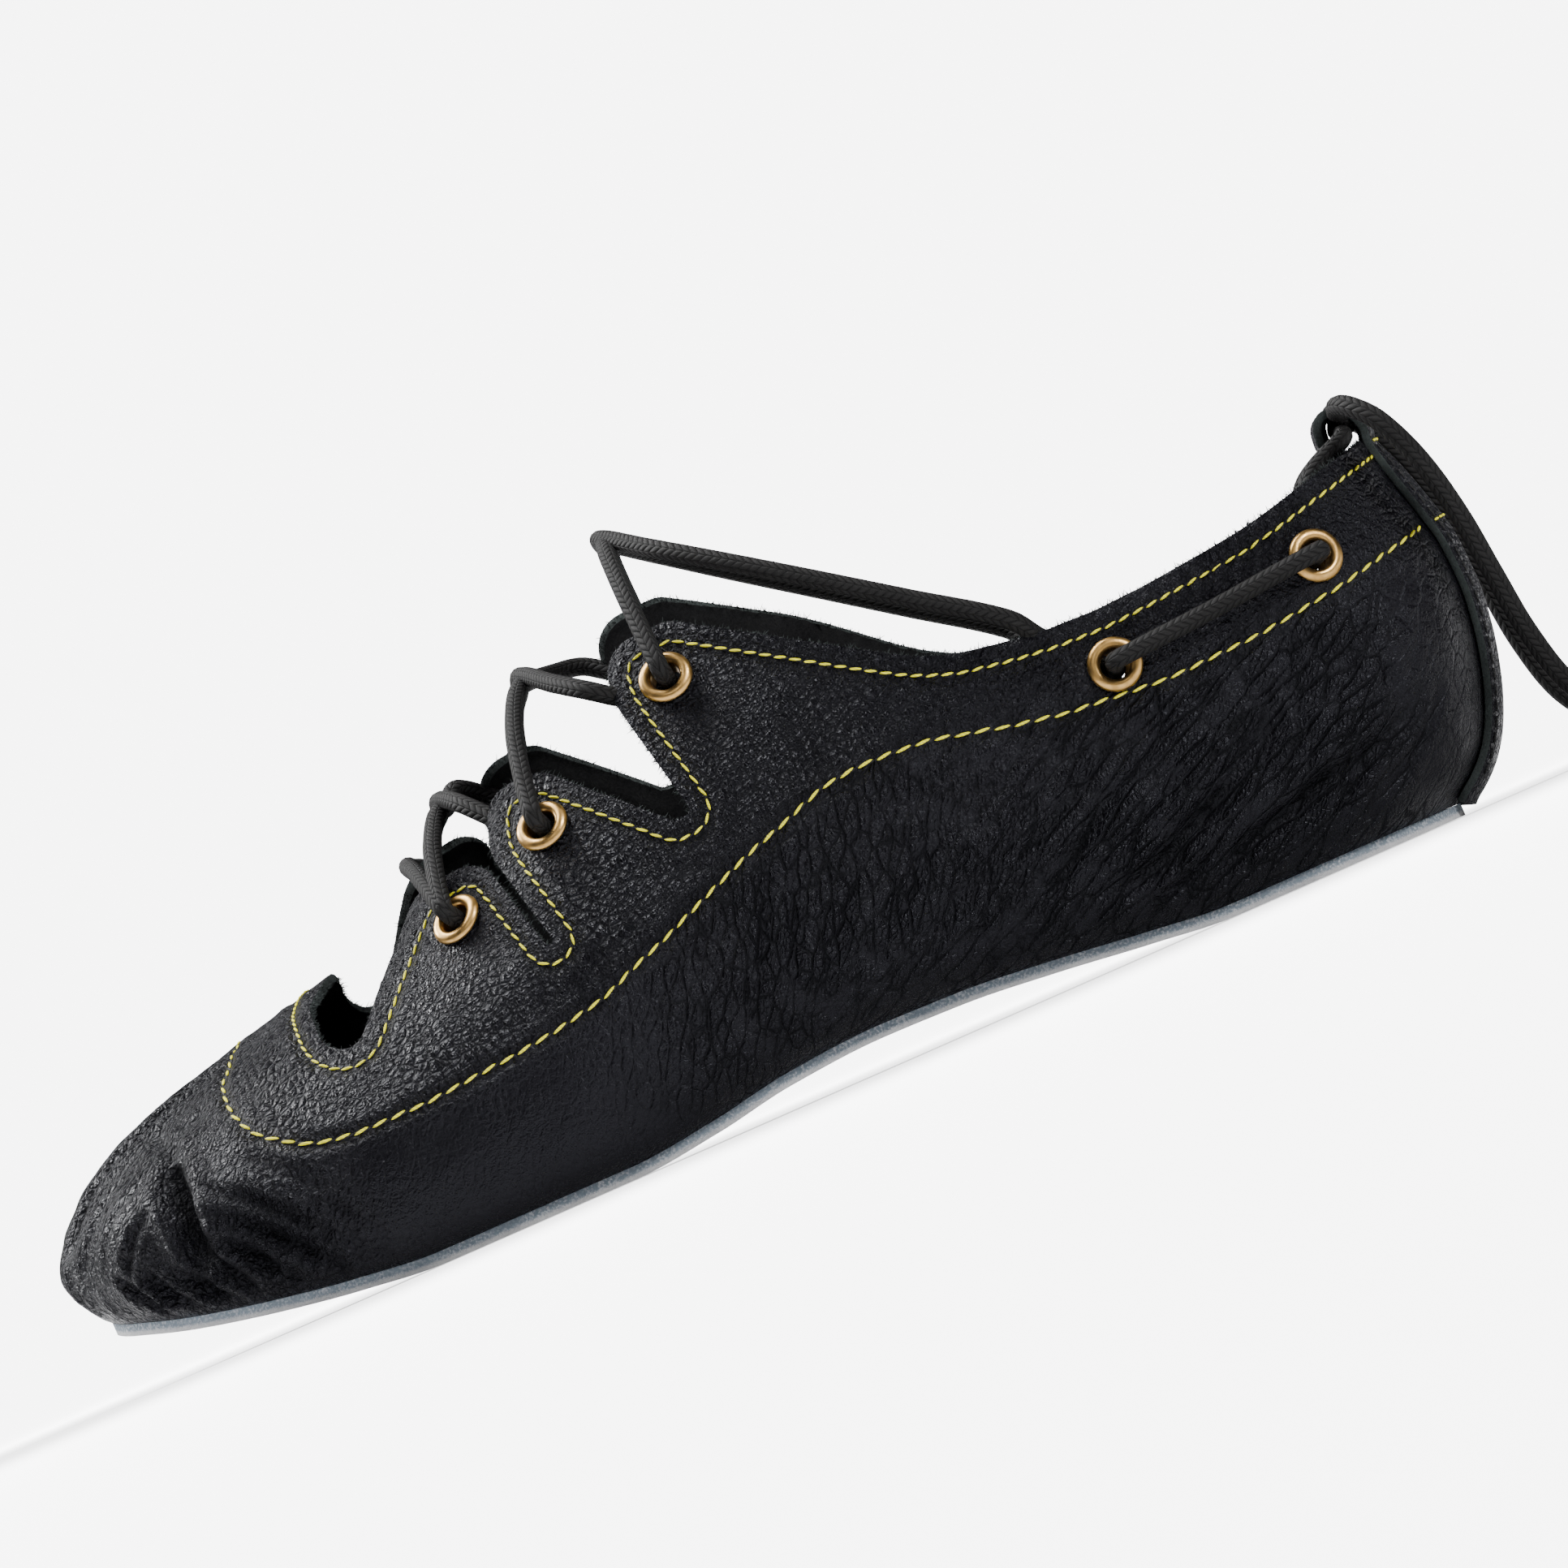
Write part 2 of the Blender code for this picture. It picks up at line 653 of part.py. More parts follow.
def make_heel_strip(parts, leather):
    outside = SEAT + STRIP_THICK / 2
    inside = -(WALL + STRIP_CLEAR + STRIP_THICK / 2)
    rows = [("back", z, outside) for z in STRIP_ROWS]
    rows += [("loop", at, z) for at, z in LOOP]
    rows += [("back", z, inside) for z in STRIP_INSIDE_ROWS]

    def point(i, j):
        y = STRIP_WIDTH * (j / STRIP_FACES - 0.5)
        kind, first, second = rows[i]
        if kind == "back":
            return heel_point(y, first, second)
        return first - y * y / (2 * STRIP_SAG), y, second

    strip = new_object("heel_strip", sheet(len(rows) - 1, STRIP_FACES, point), parts, leather)
    thicken(strip, STRIP_THICK, 0)


def make_eyelets(parts, brass):
    """Rolled rims outside, a barrel through the leather and a folded rim inside, turned about the hole."""
    profile = [
        (EYELET_HOLE, EYELET_HEIGHT * 0.75),
        (mixed(EYELET_HOLE, EYELET_RIM, 0.42), EYELET_HEIGHT + EYELET_UNDER),
        (mixed(EYELET_HOLE, EYELET_RIM, 0.82), EYELET_HEIGHT),
        (EYELET_RIM, EYELET_UNDER),
        (EYELET_BARREL, EYELET_UNDER),
        (EYELET_BARREL, -EYELET_CLINCH),
        (EYELET_FOLD, -EYELET_CLINCH),
        (EYELET_HOLE, -EYELET_CLINCH - EYELET_LIP),
    ]
    for name, middle, outward in eyelet_places():
        bm = bmesh.new()
        verts = [bm.verts.new((r * MM, 0, z * MM)) for r, z in profile]
        for a, b in zip(verts, verts[1:] + verts[:1], strict=True):
            bm.edges.new((a, b))
        eyelet = new_object(name, bm, parts, brass)
        eyelet.location = place(*middle)
        eyelet.rotation_euler = outward.to_track_quat("Z", "Y").to_euler()
        screw = eyelet.modifiers.new("Turned", "SCREW")
        screw.angle = 2 * math.pi
        screw.steps = EYELET_STEPS
        screw.render_steps = EYELET_STEPS
        screw.use_merge_vertices = True
        screw.merge_threshold = MERGE


def smooth_route(points, step):
    """Points about a step apart on a smooth curve through the given ones."""
    points = [Vector(point) for point in points]
    gaps = [(b - a).length for a, b in zip(points, points[1:])]
    tangents = [points[1] - points[0]]
    for i in range(1, len(points) - 1):
        tangents.append((points[i + 1] - points[i - 1]) / (gaps[i - 1] + gaps[i]))
    tangents[0] = tangents[0] / gaps[0]
    tangents.append((points[-1] - points[-2]) / gaps[-1])
    route = []
    for i, gap in enumerate(gaps):
        steps = max(1, round(gap / step))
        for k in range(steps):
            t = k / steps
            rise = t * t * (3 - 2 * t)
            bow = gap * (t * (1 - t) ** 2 * tangents[i] - t * t * (1 - t) * tangents[i + 1])
            route.append(mixed(points[i], points[i + 1], rise) + bow)
    return route + [points[-1]]


def tube(name, route, diameter, collection, material):
    """A round cord along the route, with closed ends."""
    curve = bpy.data.curves.new(name, "CURVE")
    curve.dimensions = "3D"
    curve.bevel_depth = diameter / 2 * MM
    curve.bevel_resolution = 2
    curve.use_fill_caps = True
    spline = curve.splines.new("POLY")
    spline.points.add(len(route) - 1)
    for point, target in zip(spline.points, route, strict=True):
        point.co = (*place(*target), 1.0)
    curve.materials.append(material)
    obj = bpy.data.objects.new(name, curve)
    collection.objects.link(obj)
    return obj


def tube_mesh(name, route, diameter, collection, material):
    """The same cord as a closed mesh, which can be joined to another."""
    curve = tube(f"{name}_curve", route, diameter, collection, material)
    bpy.context.view_layer.update()
    mesh = bpy.data.meshes.new_from_object(curve.evaluated_get(bpy.context.evaluated_depsgraph_get()))
    mesh.name = name
    bm = bmesh.new()
    bm.from_mesh(mesh)
    bmesh.ops.remove_doubles(bm, verts=bm.verts, dist=MERGE)
    bm.to_mesh(mesh)
    bm.free()
    obj = bpy.data.objects.new(name, mesh)
    obj.matrix_world = curve.matrix_world
    collection.objects.link(obj)
    data = curve.data
    bpy.data.objects.remove(curve)
    bpy.data.curves.remove(data)
    return obj


def crown(side, number, lift=CROWN_LIFT):
    """The point in front of an eyelet's hole."""
    eyelet = EYELETS[number]
    return on_wall(side, eyelet.at, side_height(side, eyelet.at, eyelet.height), lift)


def climb(side, number, ridge_at):
    """From an eyelet up the instep to the ridge."""
    eyelet = EYELETS[number]
    low = side_height(side, eyelet.at, eyelet.height)
    points = [crown(side, number)]
    for share, lift in CLIMB.items():
        at = mixed(eyelet.at, ridge_at, share)
        rise = math.sin(share * math.pi / 2) ** CLIMB_ROUND
        points.append(on_wall(side, at, mixed(low, form_at(ridge_at).crest - 1, rise), lift))
    over = CROSS_OVER if side == INNER else 0.0
    return points + [on_ridge(ridge_at, RIDGE_LIFT + over)]


def crossing_strand(side, crossing):
    """From an eyelet over the ridge and down to where the strand goes in on the other side."""
    end_height = side_height(-side, crossing.end_at, crossing.end_height)
    points = climb(side, crossing.eyelet, crossing.ridge_at)
    for share in crossing.shares:
        at = mixed(crossing.ridge_at, crossing.end_at, share)
        z = mixed(form_at(crossing.ridge_at).crest, end_height, share)
        points.append(on_wall(-side, at, z, RIDGE_LIFT))
    return smooth_route(points, LACE_STEP / 2)


def joined(name, routes, parts, cutters, material):
    """Strands that meet, as one solid."""
    first, *others = routes
    lace = tube_mesh(name, first, LACE, parts, material)
    for number, route in enumerate(others, 1):
        other = as_cutter(tube_mesh(f"{name}_{number}", route, LACE, cutters, material))
        cut(lace, other, "UNION")


def make_lace(parts, cutters, cord, tip):
    for number, crossing in enumerate(CROSSINGS, 1):
        routes = [crossing_strand(side, crossing) for side in SIDES.values()]
        if crossing.eyelet == 0:
            bar = climb(OUTER, 0, BAR_RIDGE) + climb(INNER, 0, BAR_RIDGE)[-2::-1]
            routes.append(smooth_route(bar, LACE_STEP / 2))
        joined(f"lace_crossing_{number}", routes, parts, cutters, cord)
    for name, side in SIDES.items():
        fourth, fifth = EYELETS[3], EYELETS[4]
        run = [crown(side, 3)]
        for share, lift in RUN.items():
            at = mixed(fourth.at, fifth.at, share)
            run.append(on_wall(side, at, mixed(fourth.height, fifth.height, share), lift))
        run.append(crown(side, 4))
        tube(f"lace_run_{name}", smooth_route(run, LACE_STEP / 2), LACE, parts, cord)
        riser = [on_wall(side, point.at, point.height, point.lift) for point in RISER]
        mouth_at, mouth_y, mouth_z = RISER_MOUTH
        riser.append(Vector((mouth_at, side * mouth_y, mouth_z)))
        tube(f"lace_riser_{name}", smooth_route(riser, LACE_STEP / 2), LACE, parts, cord)
        lace, tip_route = free_end(DROPS[name] + floor_legs(side, DROPS[name][-1][1]))
        tube(f"lace_end_{name}", lace, LACE, parts, cord)
        tube(f"aglet_{name}", tip_route, AGLET, parts, tip)


def floor_legs(side, first_y):
    """Points of a cord that lies on the floor in legs to and fro, joined by half circles."""
    points = []
    radius = LEG_GAP / 2
    for leg in range(LEGS):
        y = first_y + side * LEG_GAP * leg
        start, end = LEG_ENDS if leg % 2 == 0 else LEG_ENDS[::-1]
        ahead = math.copysign(1, end - start)
        if leg == LEGS - 1:
            end += ahead * LAST_LEG_MORE
        points += [(start, y), ((start + end) / 2, y + side * LEG_SWAY), (end, y)]
        if leg < LEGS - 1:
            for angle in np.radians((45, 90, 135)):
                points.append((end + ahead * radius * np.sin(angle), y + side * radius * (1 - np.cos(angle))))
    return [(at, y, LACE_REST) for at, y in points]


def free_end(points):
    """A cord through the points, cut to the free end's length, and the straight aglet on it."""
    route = [Vector((p.x, p.y, max(p.z, LACE_REST))) for p in smooth_route(points, LACE_STEP)]
    left = LACE_END - AGLET_LONG - SEAT
    lace = [route[0]]
    for point in route[1:]:
        gap = (point - lace[-1]).length
        if gap >= left:
            break
        lace.append(point)
        left -= gap
    ahead = (point - lace[-1]).normalized()
    if left > LACE / 2:
        lace.append(lace[-1] + ahead * left)
    start = lace[-1] + ahead * SEAT
    return lace, [start, start + ahead * AGLET_LONG]


def main():
    for obj in list(bpy.data.objects):
        bpy.data.objects.remove(obj)
    parts = new_collection("highland_dance_shoe")
    cutters = new_collection("cutters")
    leather = new_material("black_leather", (0.018, 0.018, 0.020), 0.55)
    strip_leather = new_material("black_strip_leather", (0.022, 0.022, 0.024), 0.5)
    suede = new_material("grey_split_suede", (0.42, 0.45, 0.48), 0.95)
    board = new_material("insole_board", (0.05, 0.05, 0.055), 0.9)
    brass = new_material("matte_brass", (0.56, 0.35, 0.14), 0.38, 1.0)
    cord = new_material("black_lace", (0.02, 0.019, 0.019), 0.8)
    tip = new_material("aglet_plastic", (0.015, 0.015, 0.016), 0.3)
    make_upper(parts, cutters, leather)
    make_soles(parts, suede, board)
    make_heel_strip(parts, strip_leather)
    make_eyelets(parts, brass)
    make_lace(parts, cutters, cord, tip)


main()
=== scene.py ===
"""Looks of a left highland dance shoe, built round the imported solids.

Sizes are in millimetres. A place along the shoe is its distance from the toe tip, heights are above the
floor, and place() turns them into metres in the shared frame.
"""

import functools
import math
import random
from collections import namedtuple

import bmesh
import bpy
import numpy as np
from mathutils import Matrix, Vector, noise
from mathutils.bvhtree import BVHTree


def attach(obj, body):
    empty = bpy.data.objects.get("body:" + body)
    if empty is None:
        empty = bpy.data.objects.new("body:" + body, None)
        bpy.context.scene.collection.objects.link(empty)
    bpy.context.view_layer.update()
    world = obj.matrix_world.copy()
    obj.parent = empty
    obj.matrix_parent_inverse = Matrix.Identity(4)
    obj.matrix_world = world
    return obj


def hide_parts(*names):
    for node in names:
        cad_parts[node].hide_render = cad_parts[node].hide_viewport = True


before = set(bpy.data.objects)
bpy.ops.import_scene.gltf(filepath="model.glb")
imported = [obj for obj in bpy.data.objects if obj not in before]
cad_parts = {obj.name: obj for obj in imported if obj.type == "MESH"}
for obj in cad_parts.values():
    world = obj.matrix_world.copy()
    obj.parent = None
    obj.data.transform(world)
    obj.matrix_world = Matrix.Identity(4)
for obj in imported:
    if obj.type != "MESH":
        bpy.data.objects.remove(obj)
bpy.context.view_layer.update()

MM = 0.001
OUTER = -1  # the little toe's side, towards the camera
INNER = 1  # the big toe's side
SIDES = {"near": OUTER, "far": INNER}

SHOE_LENGTH = 256.0
FORM_LENGTH = 254.2
CENTRE_Y = -1.35
WALL = 1.5
SEAT = 0.03

SOLE_THICK = 2.1
SOLE_TOE = 4.6
SOLE_HEEL = 239.5
MARGIN = 7.0

INSOLE_THICK = 1.2
INSOLE_ENDS = (11.5, 238.3)
INSOLE_SHARE = 0.9
INSOLE_CLEAR = 0.45
INSOLE_FACES = (160, 30)
OUTSOLE_FACES = (240, 46)
UPPER_SOFT = 0.22  # width of the softened edges
STRIP_SOFT = 0.25
SOLE_SOFT = 0.35

STRIP_THICK = 1.5
STRIP_WIDTH = 14.5
STRIP_SAG = 25.0
STRIP_CLEAR = 0.45
STRIP_CROWN = 1.2  # over the heel seam
CROWN_ENDS = (52.0, 62.0)
STRIP_ACROSS = 12
STRIP_FINER = 4

EYELET_DRILL = 3.45

LACE = 3.4
AGLET = 2.1
AGLET_LONG = 20.0
LACE_END = 476.0

HEEL_PULL_FROM = 195.0
TAB_LEAN = 0.115
LEAN_FROM_Y = -30.0
LEAN_STARTS = (62.0, 84.0)
LEAN_ENDS = (150.0, 185.0)
RIDGE_CLEAR = 0.4
PROBE = 0.2

# Cross sections of the upper: the crest's height, the ridge's Y, the widest Y to either side, the height of
# that, and how full the curve between them is.
Section = namedtuple("Section", "at crest ridge outer inner belly fullness")
SECTIONS = [
    Section(0.0, 22.0, 6.0, -6.0, 6.0, 22.0, 2.0),
    Section(4.0, 29.2, 6.3, 7.0, 18.5, 20.5, 2.0),
    Section(10.0, 34.0, 6.7, 16.5, 26.0, 19.5, 2.0),
    Section(20.0, 39.5, 7.0, 26.0, 33.0, 18.5, 2.0),
    Section(32.0, 43.3, 7.0, 33.0, 37.5, 17.5, 2.0),
    Section(46.0, 47.4, 7.0, 38.0, 40.5, 16.5, 2.0),
    Section(62.0, 50.9, 6.5, 42.0, 42.3, 16.0, 2.0),
    Section(78.0, 59.6, 6.0, 44.0, 42.5, 16.0, 2.0),
    Section(95.0, 71.0, 5.2, 45.0, 40.5, 17.0, 2.0),
    Section(115.0, 84.0, 4.0, 43.0, 36.5, 20.0, 1.9),
    Section(135.0, 99.0, 2.8, 39.5, 33.0, 23.5, 1.7),
    Section(155.0, 113.5, 1.5, 36.5, 31.3, 25.5, 1.55),
    Section(175.0, 120.0, 0.5, 33.8, 30.3, 26.5, 1.5),
    Section(195.0, 122.0, 0.0, 32.0, 30.2, 27.0, 1.5),
    Section(212.0, 122.0, 0.0, 31.0, 30.3, 28.0, 1.5),
    Section(227.0, 122.0, 0.0, 29.3, 29.0, 29.0, 1.5),
    Section(239.0, 122.0, 0.0, 25.0, 25.0, 29.5, 1.5),
    Section(248.0, 122.0, 0.0, 18.0, 18.0, 30.0, 1.5),
    Section(FORM_LENGTH, 122.0, 0.0, 0.0, 0.0, 30.0, 1.5),
]

# The sole's edge to either side, the height of its underside there, and the back line of the heel.
Outline = namedtuple("Outline", "at outer inner")
OUTLINE = [
    Outline(SOLE_TOE, -7.0, 7.0),
    Outline(10.0, 10.0, 21.0),
    Outline(20.0, 21.0, 29.0),
    Outline(32.0, 28.5, 33.5),
    Outline(46.0, 33.5, 36.3),
    Outline(62.0, 37.5, 37.5),
    Outline(78.0, 39.5, 37.8),
    Outline(95.0, 39.8, 34.5),
    Outline(115.0, 36.5, 28.0),
    Outline(135.0, 31.5, 23.0),
    Outline(155.0, 28.5, 21.5),
    Outline(175.0, 27.0, 22.5),
    Outline(195.0, 26.5, 24.5),
    Outline(212.0, 25.5, 25.0),
    Outline(226.0, 21.0, 21.0),
    Outline(234.0, 13.5, 13.5),
    Outline(SOLE_HEEL, 0.0, 0.0),
]

Tread = namedtuple("Tread", "at outer inner")
TREADS = [
    Tread(0.0, 19.6, 19.6),
    Tread(1.9, 13.9, 13.9),
    Tread(4.6, 10.7, 10.7),
    Tread(10.5, 8.5, 8.5),
    Tread(17.0, 6.6, 6.6),
    Tread(24.0, 5.0, 5.0),
    Tread(34.0, 3.1, 3.1),
    Tread(46.0, 1.3, 1.3),
    Tread(60.0, 0.0, 0.0),
    Tread(93.0, 0.0, 0.0),
    Tread(108.0, 1.5, 2.2),
    Tread(122.0, 3.8, 6.0),
    Tread(138.0, 4.9, 8.4),
    Tread(152.0, 4.6, 8.0),
    Tread(168.0, 3.2, 5.4),
    Tread(184.0, 1.3, 2.0),
    Tread(198.0, 0.0, 0.0),
    Tread(FORM_LENGTH, 0.0, 0.0),
]

Back = namedtuple("Back", "height at")
BACKS = [
    Back(2.4, 239.45),
    Back(3.6, 240.7),
    Back(5.8, 243.6),
    Back(9.2, 246.8),
    Back(15.0, 249.9),
    Back(21.8, 252.1),
    Back(28.7, 253.5),
    Back(35.7, 254.1),
    Back(41.0, 253.9),
    Back(47.0, 252.7),
    Back(54.0, 250.9),
    Back(61.0, 249.4),
    Back(80.0, 245.5),
    Back(122.0, 238.0),
]

# The cut edge of throat, tabs and collar, as corners and their radii.
Corner = namedtuple("Corner", "at height radius")
EDGE = [
    Corner(61.2, 50.8, 0.0),
    Corner(55.2, 47.5, 4.0),
    Corner(55.2, 31.9, 4.0),
    Corner(78.5, 56.7, 9.0),
    Corner(90.4, 57.6, 5.0),
    Corner(95.0, 40.0, 0.5),
    Corner(96.4, 40.0, 0.5),
    Corner(92.2, 57.5, 9.0),
    Corner(95.4, 66.7, 6.0),
    Corner(104.8, 66.7, 5.0),
    Corner(121.6, 50.2, 1.5),
    Corner(124.9, 50.2, 1.2),
    Corner(120.4, 71.0, 12.0),
    Corner(121.4, 80.4, 6.0),
    Corner(133.4, 80.6, 5.0),
    Corner(169.5, 57.4, 34.0),
    Corner(193.0, 53.3, 90.0),
    Corner(224.0, 56.4, 90.0),
    Corner(252.0, 63.4, 0.0),
]
INNER_FRONT = [
    Corner(61.2, 50.8, 0.0),
    Corner(60.2, 48.4, 2.5),
    Corner(60.2, 37.2, 4.0),
]
EDGES = {"near": EDGE, "far": INNER_FRONT + EDGE[3:]}

Eyelet = namedtuple("Eyelet", "at height")
EYELETS = [
    Eyelet(83.3, 49.6),
    Eyelet(101.9, 57.8),
    Eyelet(129.6, 71.9),
    Eyelet(196.5, 44.8),
    Eyelet(233.1, 47.9),
]

# The lace: where each crossing starts, passes the ridge and goes in, and how far it is off the leather.
Crossing = namedtuple("Crossing", "eyelet ridge_at end_at end_height shares")
CROSSINGS = [
    Crossing(0, 89.0, 91.8, 65.6, (1.0,)),
    Crossing(1, 109.3, 118.2, 73.6, (0.5, 1.0)),
    Crossing(2, 130.3, 183.6, 58.0, (0.12, 0.3, 0.5, 0.75, 1.0)),
]
BAR_RIDGE = 79.4
RIDGE_LIFT = 2.0
CROSS_OVER = 0.8
CLIMB = {0.3: 3.3, 0.55: 2.7, 0.8: 2.3}
CLIMB_ROUND = 0.85
CROWN_LIFT = 3.5
RUN = {0.14: 3.4, 0.5: 2.2, 0.86: 3.4}
Stand = namedtuple("Stand", "at height lift")
RISER = [Stand(236.0, 54.0, -5.0), Stand(240.5, 61.0, -4.6)]
RISER_MOUTH = (245.6, 9.8, 64.0)
LOOP_LANES = {OUTER: 245.2, INNER: 247.2}  # of the two halves inside the back loop
LOOP_PASS = ((5.0, 65.3), (-4.0, 65.8))
LOOP_EXIT = (246.3, -8.0, 68.0)
LOOP_STARTS = (241.0, 60.0)  # place and height
LOOP_HALF = (6.0, 10.0)  # sideways, the lace is squeezed up to the first and full from the second
LOOP_SQUEEZE = 0.68
HOLE_LIFTS = (-4.6, -1.5, 1.4)  # through an eyelet
BEHIND_LIFTS = {0.3: -2.0, 0.7: -4.2}  # on the way to an eyelet, behind the leather
START_LIFT = -6.0  # behind the first eyelet
BAR_LIFTS = (-4.0, 1.0)

STRIP_ROWS = (2.75, 3.8, 5.4, 7.8, 11.0, 15.5, 21.0, 27.5, 34.5, 41.5, 48.5, 55.5, 61.6)
STRIP_INSIDE_ROWS = (58.5, 54.5, 50.0)
Loop = namedtuple("Loop", "at height")
LOOP = [
    Loop(250.3, 64.0),
    Loop(249.5, 66.6),
    Loop(247.6, 68.6),
    Loop(245.2, 68.6),
    Loop(243.3, 66.9),
    Loop(243.0, 64.4),
    Loop(244.3, 62.0),
]

# The free ends of the lace, hanging to the floor behind the heel and lying there in legs.
LACE_REST = LACE / 2 + 0.1
DROPS = {
    "near": [
        (246.3, -8.0, 68.2), (246.5, -13.0, 68.9), (248.0, -18.0, 68.1), (251.4, -21.4, 64.0),
        (254.9, -21.6, 55.6), (257.3, -19.6, 45.0), (258.6, -18.2, 34.0), (260.0, -16.6, 23.0),
        (263.0, -15.0, 12.5), (269.0, -13.4, 5.0), (278.0, -12.2, LACE_REST),
    ],
    "far": [
        (246.3, 8.0, 68.2), (246.6, 13.2, 68.8), (248.3, 18.4, 67.8), (251.7, 21.9, 63.4),
        (255.1, 22.3, 54.8), (257.4, 20.8, 44.2), (258.6, 19.4, 33.2), (259.8, 17.8, 22.2),
        (262.6, 16.2, 12.0), (268.4, 14.6, 4.8), (277.4, 13.2, LACE_REST),
    ],
}
LEG_ENDS = (284.0, 356.0)
LEGS = 4
LEG_GAP = 16.0
LEG_SWAY = 1.2
LAST_LEG_MORE = 24.0

# The yellow seam that swings from the vamp to the heel.
VAMP_SEAM = [
    (41.1, 45.9), (39.3, 43.5), (37.4, 41.0), (37.1, 38.2), (37.4, 35.5), (38.5, 33.1), (40.3, 30.7),
    (43.3, 28.6), (46.2, 26.7), (49.4, 25.7), (55.0, 24.8), (67.0, 24.8), (79.0, 25.7), (91.0, 26.9),
    (100.0, 28.7), (106.0, 31.1), (112.0, 33.2), (118.0, 35.6), (124.0, 38.0), (130.0, 40.4),
    (136.0, 42.3), (145.6, 45.6), (151.7, 46.3), (157.7, 46.2), (164.7, 45.5), (171.6, 43.9),
    (178.5, 42.2), (185.5, 40.9), (199.3, 39.6), (206.3, 39.3), (220.0, 40.0), (234.0, 41.7),
    (246.0, 44.3), (250.6, 45.4), (252.0, 45.9),
]
EDGE_SEAM_IN = 3.2  # from the cut edge
EDGE_SEAM_FRONT = 55.0  # where it goes over the ridge
VAMP_SEAM_FRONT = 42.0
SEAM_RIDGE_CLEAR = 1.5  # below the ridge, where the sides of the edge seam end
EDGE_STITCH = (2.5, 0.76, 0.48)  # pitch, share of it that shows, and width
VAMP_STITCH = (3.3, 0.76, 0.54)
STRIP_STITCH = (2.2, 0.75, 0.46)
STRIP_MARK = (2.6, 0.7, 0.5)
STITCH_SLANT = math.radians(10)
STITCH_LIFT = 0.14
STITCH_ROUND = (0.56, 0.45)  # half length for its reach, and half thickness for its width
MARK_LIFT = -0.12  # the needle marks and the painted shadow of each stitch lie under the stitches, longer and wider
MARK_SHARE = 1.02
MARK_WIDER = 1.35
STRIP_LIFT = 0.1
STRIP_MARK_LIFT = 0.08
STRIP_MARK_IN = 1.4
STRIP_SEAMS = (45.4, 61.4)  # across the heel strip
STRIP_SEAM_ENDS = (6.0, 61.0)  # along its edges
VAMP_SUNK = 0.35
EDGE_SUNK = 0.3
PUFF_SHARE = 0.8  # how far the leather swells beside a seam, for its depth
PUFF_AWAY = 2.2
PUFF_WIDE = 1.2

